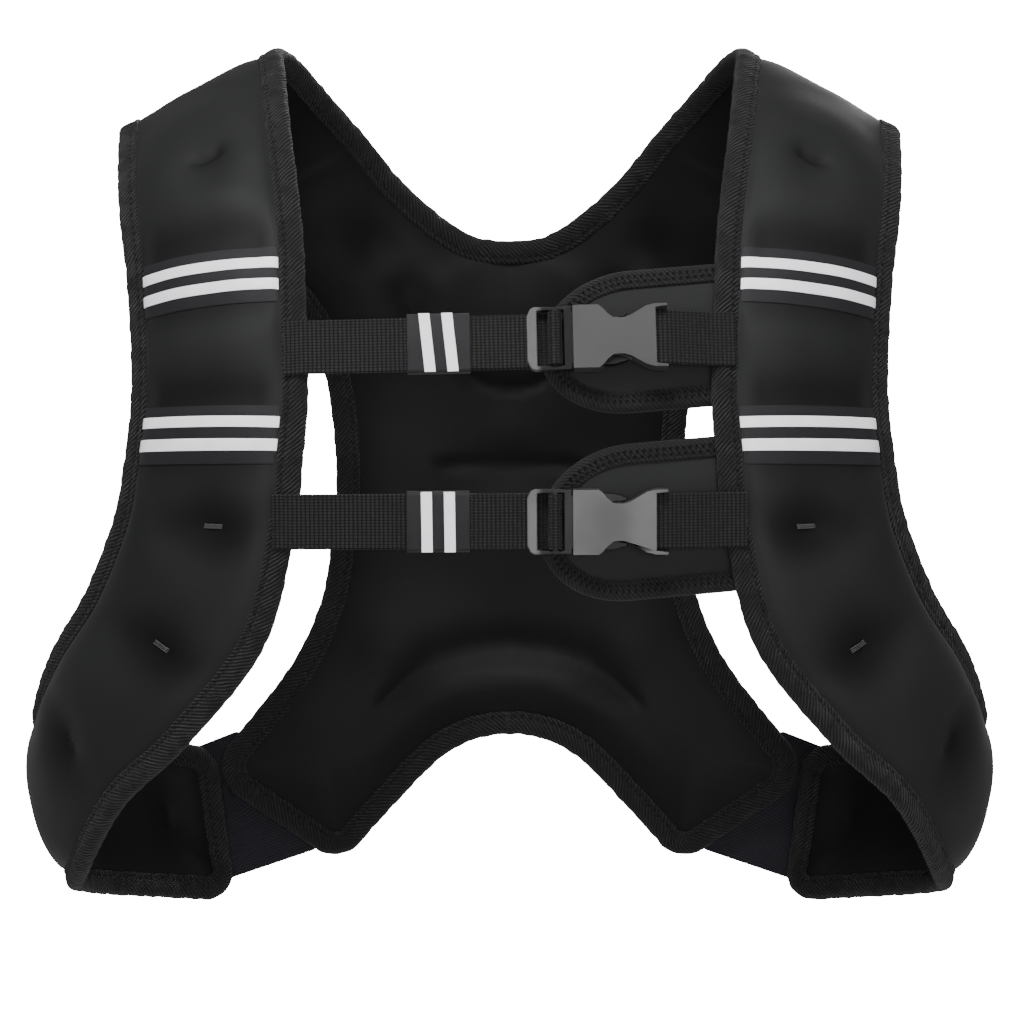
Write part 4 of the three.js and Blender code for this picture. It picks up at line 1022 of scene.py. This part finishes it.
def flap_point(x, height):
    """A point halfway through a flap, and the way its face points."""
    x, height = together(x, height)
    row = row_at_height(height + FLAP_LEAN * (x - FLAP_PIVOT))
    place = edge("in", row)
    normal = normal_at(row, np.zeros_like(row))
    root = place - normal * FLAP_DEPTH
    down = unit(edge("in", row + PROBE) - edge("in", row - PROBE))
    facing = unit(np.cross(FORWARDS, down))
    free = root + FORWARDS * (place[..., 0] - x)[..., None]
    inward = unit(np.cross(normal, down))
    inward = inward * np.sign(inward[..., :1])
    under = root + inward * (x - place[..., 0])[..., None]
    is_free = (x < place[..., 0])[..., None]
    blend = np.clip((place[..., 0] - x)[..., None] / 6, 0, 1)
    return np.where(is_free, free, under), unit(facing * blend + normal * (1 - blend))


def flap_pieces(name, row, top, bottom):
    start = edge("in", float(row))
    centre, half = start[2] + (top + bottom) / 2, (top - bottom) / 2
    angles = np.linspace(-math.pi / 2, math.pi / 2, 49)
    tip_x, tip_z = FLAP_TIP + FLAP_TIP_LONG * (1 - np.cos(angles)), centre + half * np.sin(angles)
    root = start[0] + FLAP_ROOT
    share = np.concatenate([np.linspace(0, 0.12, 6), np.linspace(0.12, 1, 24)[1:]])
    x = tip_x[:, None] + (root - tip_x)[:, None] * share[None]
    z = np.repeat(tip_z[:, None], len(share), 1)
    mid, facing = flap_point(x, z)
    depth_in = np.minimum((x - tip_x[:, None]), (1 - np.abs((z - centre) / half)) * half)
    puff = np.clip((depth_in - 7) / 14, 0, 1)
    puff = (1 - (1 - puff) ** 2) * (1.1 + 0.25 * waves(mid, 40, 12))
    outer = mid + facing * (FLAP_HALF + puff)[..., None]
    inner = mid - facing * (FLAP_HALF + 0.5 * puff)[..., None]
    pad = outwards(mesh_object(f"buckle_pad_{name}", *slab(outer, inner, np.stack([x, z], -1))), 1e-6)
    finish(pad, "neoprene", "neoprene", f"buckle_flap_{name}", sharp=60)
    # The bound edge runs from the root round the tip and back
    straight = np.linspace(root, tip_x[0], 26)[:-1]
    path_x = np.concatenate([straight, tip_x, straight[::-1]])
    path_z = np.concatenate([np.full(25, tip_z[0]), tip_z, np.full(25, tip_z[-1])])
    tangent = unit(np.stack([np.gradient(path_x), np.gradient(path_z)], 1))
    step_in = np.stack([tangent[:, 1], -tangent[:, 0]], 1)
    place, normal = flap_point(path_x, path_z)
    ring_place, _ = flap_point(path_x + step_in[:, 0] * 8, path_z + step_in[:, 1] * 8)
    place, inward, normal, length = resample(place, 1.8, unit(ring_place - place), normal)
    profile = [(x * 0.84, y * 0.82) for x, y in BINDING_PROFILE]
    band_piece = sweep(f"buckle_pad_binding_{name}", place, inward, normal, length, profile)
    finish(band_piece, "flap_binding", "binding", f"flap_binding_{name}", sharp=60)


for name, row, tilt, flap_top, flap_bottom, slant in STRAPS:
    at = strap_frame(row, tilt)
    reach = at[0][0]
    tab = reach + TAB
    over = MALE_FRONT + CLEAR + WEB_T / 2
    rise, fall = BAR_END + CLEAR + WEB_T / 2, BAR_START - CLEAR - WEB_T / 2
    long_path = [(-tab, TAB_LIFT), (-reach, REAR), (rise, REAR), (rise, over)]
    long_path += [(fall, over), (fall, TAIL), (KEEPER_AT - 12, TAIL)]
    short_path = [(SEAT_START + CLEAR, BUCKLE_MID), (FEMALE_END, BUCKLE_MID)]
    short_path += [(reach - 2, REAR), (tab, TAB_LIFT)]
    for piece_name, path, node in (("long", long_path, "strap_long"), ("short", short_path, "strap_short")):
        piece = ribbon(f"chest_strap_{piece_name}_{name}", at, fillet(path, 1.3))
        finish(piece, "webbing", "webbing", f"{node}_{name}", sharp=60)
    keeper = keeper_piece(f"tail_keeper_{name}", at)
    finish(keeper, "tape", "tape", f"keeper_{name}", sharp=50)
    for number, side in ((1, -1), (2, 1)):
        stripe = keeper_stripe(f"keeper_silver_{name}_{number}", at, side, slant)
        finish(stripe, "reflective", "reflective", f"keeper_stripe_{name}_{number}", sharp=50)
    rounded_buckle(f"buckle_male_{name}", 0.5, "plastic_frame")
    rounded_buckle(f"buckle_female_{name}", 0.7, "plastic")
    flap_pieces(name, row, flap_top, flap_bottom)

# ---- side elastics
ELASTIC_HALF, ELASTIC_LAP, ELASTIC_RIPPLE = 0.8, 6.5, 0.3
ELASTIC_COLUMNS, ELASTIC_ROWS = 41, 31
ELASTIC_UV = (60, 22)
# Rows and shares on the wing's end and on the panel's corner, each with a place further in for its direction
ON_WING = [(30.62, 0.995, 30.1, 0.88), *[(31.0, share, 30.0, share) for share in (0.74, 0.42, 0.14)]]
ON_PANEL = [(0.85, 1.0, 0.85, 0.0), (0.2, 0.93, 1.0, 0.85), (0.0, 0.55, 1.0, 0.6), (0.0, 0.17, 1.0, 0.3)]


def lap_points(row, across, inner_row, inner_across):
    """Where the elastic starts on the shell and where it leaves its edge, with the way its face points."""
    place = middle(row, across)
    inward = unit(middle(inner_row, inner_across) - place)
    normal = normal_at(row, across)
    lifted = place + normal * (BINDING_FACE + CLEAR + ELASTIC_HALF)
    return [(lifted + inward * ELASTIC_LAP, normal), (lifted - inward * (2 * CLEAR + BIND_T), normal)]


def interpolated(at, stops, values):
    """The rows of values between the stops."""
    return np.stack([np.interp(at, stops, values[:, k]) for k in range(3)], 1)


def elastic_pieces():
    columns = [lap_points(*wing) + lap_points(*panel)[::-1] for wing, panel in zip(ON_WING, ON_PANEL)]
    coarse = np.array([[point for point, _ in column] for column in columns])
    facing = np.array([[normal for _, normal in column] for column in columns])
    stops = np.array([0, 0.16, 0.84, 1.0])
    fine_u, fine_v = np.linspace(0, 1, ELASTIC_COLUMNS), np.linspace(0, 3, ELASTIC_ROWS)

    def spread(values):
        lengthwise = np.stack([interpolated(fine_u, stops, column) for column in values])
        every = [interpolated(fine_v, np.arange(4), lengthwise[:, i]) for i in range(ELASTIC_COLUMNS)]
        return np.stack(every, 1)

    places, normals = spread(coarse), unit(spread(facing))
    ripple = ELASTIC_RIPPLE * np.sin(fine_v * 7.0)[:, None] * np.sin(np.pi * fine_u)[None]
    places = places + normals * ripple[..., None]
    uv = np.stack(together(fine_u[None] * ELASTIC_UV[0], fine_v[:, None] * ELASTIC_UV[1]), -1)
    half = ELASTIC_HALF * normals
    built = slab(places + half, places - half, uv)
    for piece in both_sides("stretch_panel", built, "elastic", "elastic", "side_elastic_{}"):
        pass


elastic_pieces()

# ---- thread tacks on the pads
STRAND_AT, STRAND_RADIUS, STRAND_SIDES, STRAND_STEPS = (-0.55, 0.0, 0.55), 0.32, 8, 13
ROW_SPAN = 30


def strand(row, across, half_length, slant, offset):
    """One thread of a sewn bar, as points, faces and uvs."""
    steps = np.linspace(-1, 1, STRAND_STEPS)
    width = float(width_at(row))
    share = across + (steps * half_length) / width
    shift = offset / ROW_SPAN + steps * slant
    points, normal = on_shell(row + shift, share, 0.35 + 0.35 * (1 - steps**2))
    sideways = unit(np.cross(unit(np.gradient(points, axis=0)), normal))
    angles = np.linspace(0, 2 * math.pi, STRAND_SIDES + 1)[:-1]
    ring = np.array([(math.cos(a) * STRAND_RADIUS, math.sin(a) * STRAND_RADIUS) for a in angles])
    tube = points[:, None] + sideways[:, None] * ring[None, :, :1] + normal[:, None] * ring[None, :, 1:2]
    faces = grid_faces(STRAND_STEPS, STRAND_SIDES, wrap_columns=True)
    end = (STRAND_STEPS - 1) * STRAND_SIDES
    faces += [tuple(range(STRAND_SIDES))[::-1], tuple(end + i for i in range(STRAND_SIDES))]
    lengths = np.repeat((steps * half_length)[:, None], STRAND_SIDES, 1)
    around = np.repeat(np.arange(STRAND_SIDES)[None] * 0.25, STRAND_STEPS, 0)
    return tube.reshape(-1, 3), faces, np.stack([lengths, around], -1).reshape(-1, 2)


# Each sewn bar is short and lies in its dimple
for index, (row, across, _, _, half, lean) in enumerate(TACKS[1:3], 1):
    strands = [strand(row, across, half, lean, offset) for offset in STRAND_AT]
    count = STRAND_STEPS * STRAND_SIDES
    points = np.concatenate([tube for tube, _, _ in strands])
    faces = [tuple(k * count + i for i in face) for k, (_, made, _) in enumerate(strands) for face in made]
    uvs = np.concatenate([uv for _, _, uv in strands])
    both_sides(f"tack_thread_{index}", (points, faces, uvs), "thread", "webbing", sharp=None)

# ---- stage, light and camera
FLOOR_HEIGHT = -1.3
STAGE_GREY = 0.9


def stage_piece(name, emission):
    """Make the newest mesh part of the stage; it glows, is seen and lights nothing."""
    piece = bpy.context.object
    piece.name = name
    n = Nodes(name, grey(STAGE_GREY), 0.9, specular=0.5)
    n.shader.inputs["Emission Color"].default_value = (1, 1, 1, 1)
    n.shader.inputs["Emission Strength"].default_value = emission
    piece.data.materials.append(n.material)
    piece.visible_diffuse = piece.visible_glossy = piece.visible_shadow = False


bpy.ops.mesh.primitive_circle_add(radius=6.5, vertices=64, fill_type="NGON", location=(0, 0, FLOOR_HEIGHT))
stage_piece("floor", 5.0)
bpy.ops.mesh.primitive_uv_sphere_add(radius=7, segments=48, ring_count=24)
stage_piece("backdrop", 22.0)

world = bpy.data.worlds.new("studio")
bpy.context.scene.world = world
world.use_nodes = True
world.node_tree.nodes["Background"].inputs[0].default_value = (1, 1, 1, 1)
world.node_tree.nodes["Background"].inputs[1].default_value = 0.2


# Each light's name, place, target, size in metres and power in watts; the low one stands for the floor's glow
LIGHTS = [
    ("key", (-0.25, -1.25, 1.4), (0, 0, -0.15), (0.9, 0.7), 50),
    ("fill", (0.25, -2.4, -0.2), (0, 0, -0.24), (0.9, 0.7), 34),
    ("top", (0.0, -0.5, 1.5), (0, 0, -0.1), (1.2, 0.6), 5),
    ("back", (0.5, 2.3, 1.0), (0, 0, -0.1), (1.2, 1.0), 30),
    ("low", (0, -0.2, -1.28), (0, -0.2, 0), (6, 6), 62),
]
for name, location, target, size, power in LIGHTS:
    data = bpy.data.lights.new(name, "AREA")
    data.shape = "RECTANGLE"
    data.size, data.size_y = size
    data.energy = power
    lamp = bpy.data.objects.new(name, data)
    bpy.context.collection.objects.link(lamp)
    lamp.location = location
    lamp.rotation_euler = (Vector(target) - Vector(location)).to_track_quat("-Z", "Y").to_euler()
    lamp.visible_camera = False

PICTURE_WIDTH, SHIFT_PIXELS = 1024, 2.3
camera_data = bpy.data.cameras.new("camera")
camera_data.lens, camera_data.sensor_width = 187.5, 36
camera_data.shift_x = SHIFT_PIXELS / PICTURE_WIDTH
camera_data.clip_end = 50
camera = bpy.data.objects.new("camera", camera_data)
bpy.context.collection.objects.link(camera)
camera.location = (0, -2.51, -0.19)
camera.rotation_euler = (math.radians(90), 0, 0)
bpy.context.scene.camera = camera
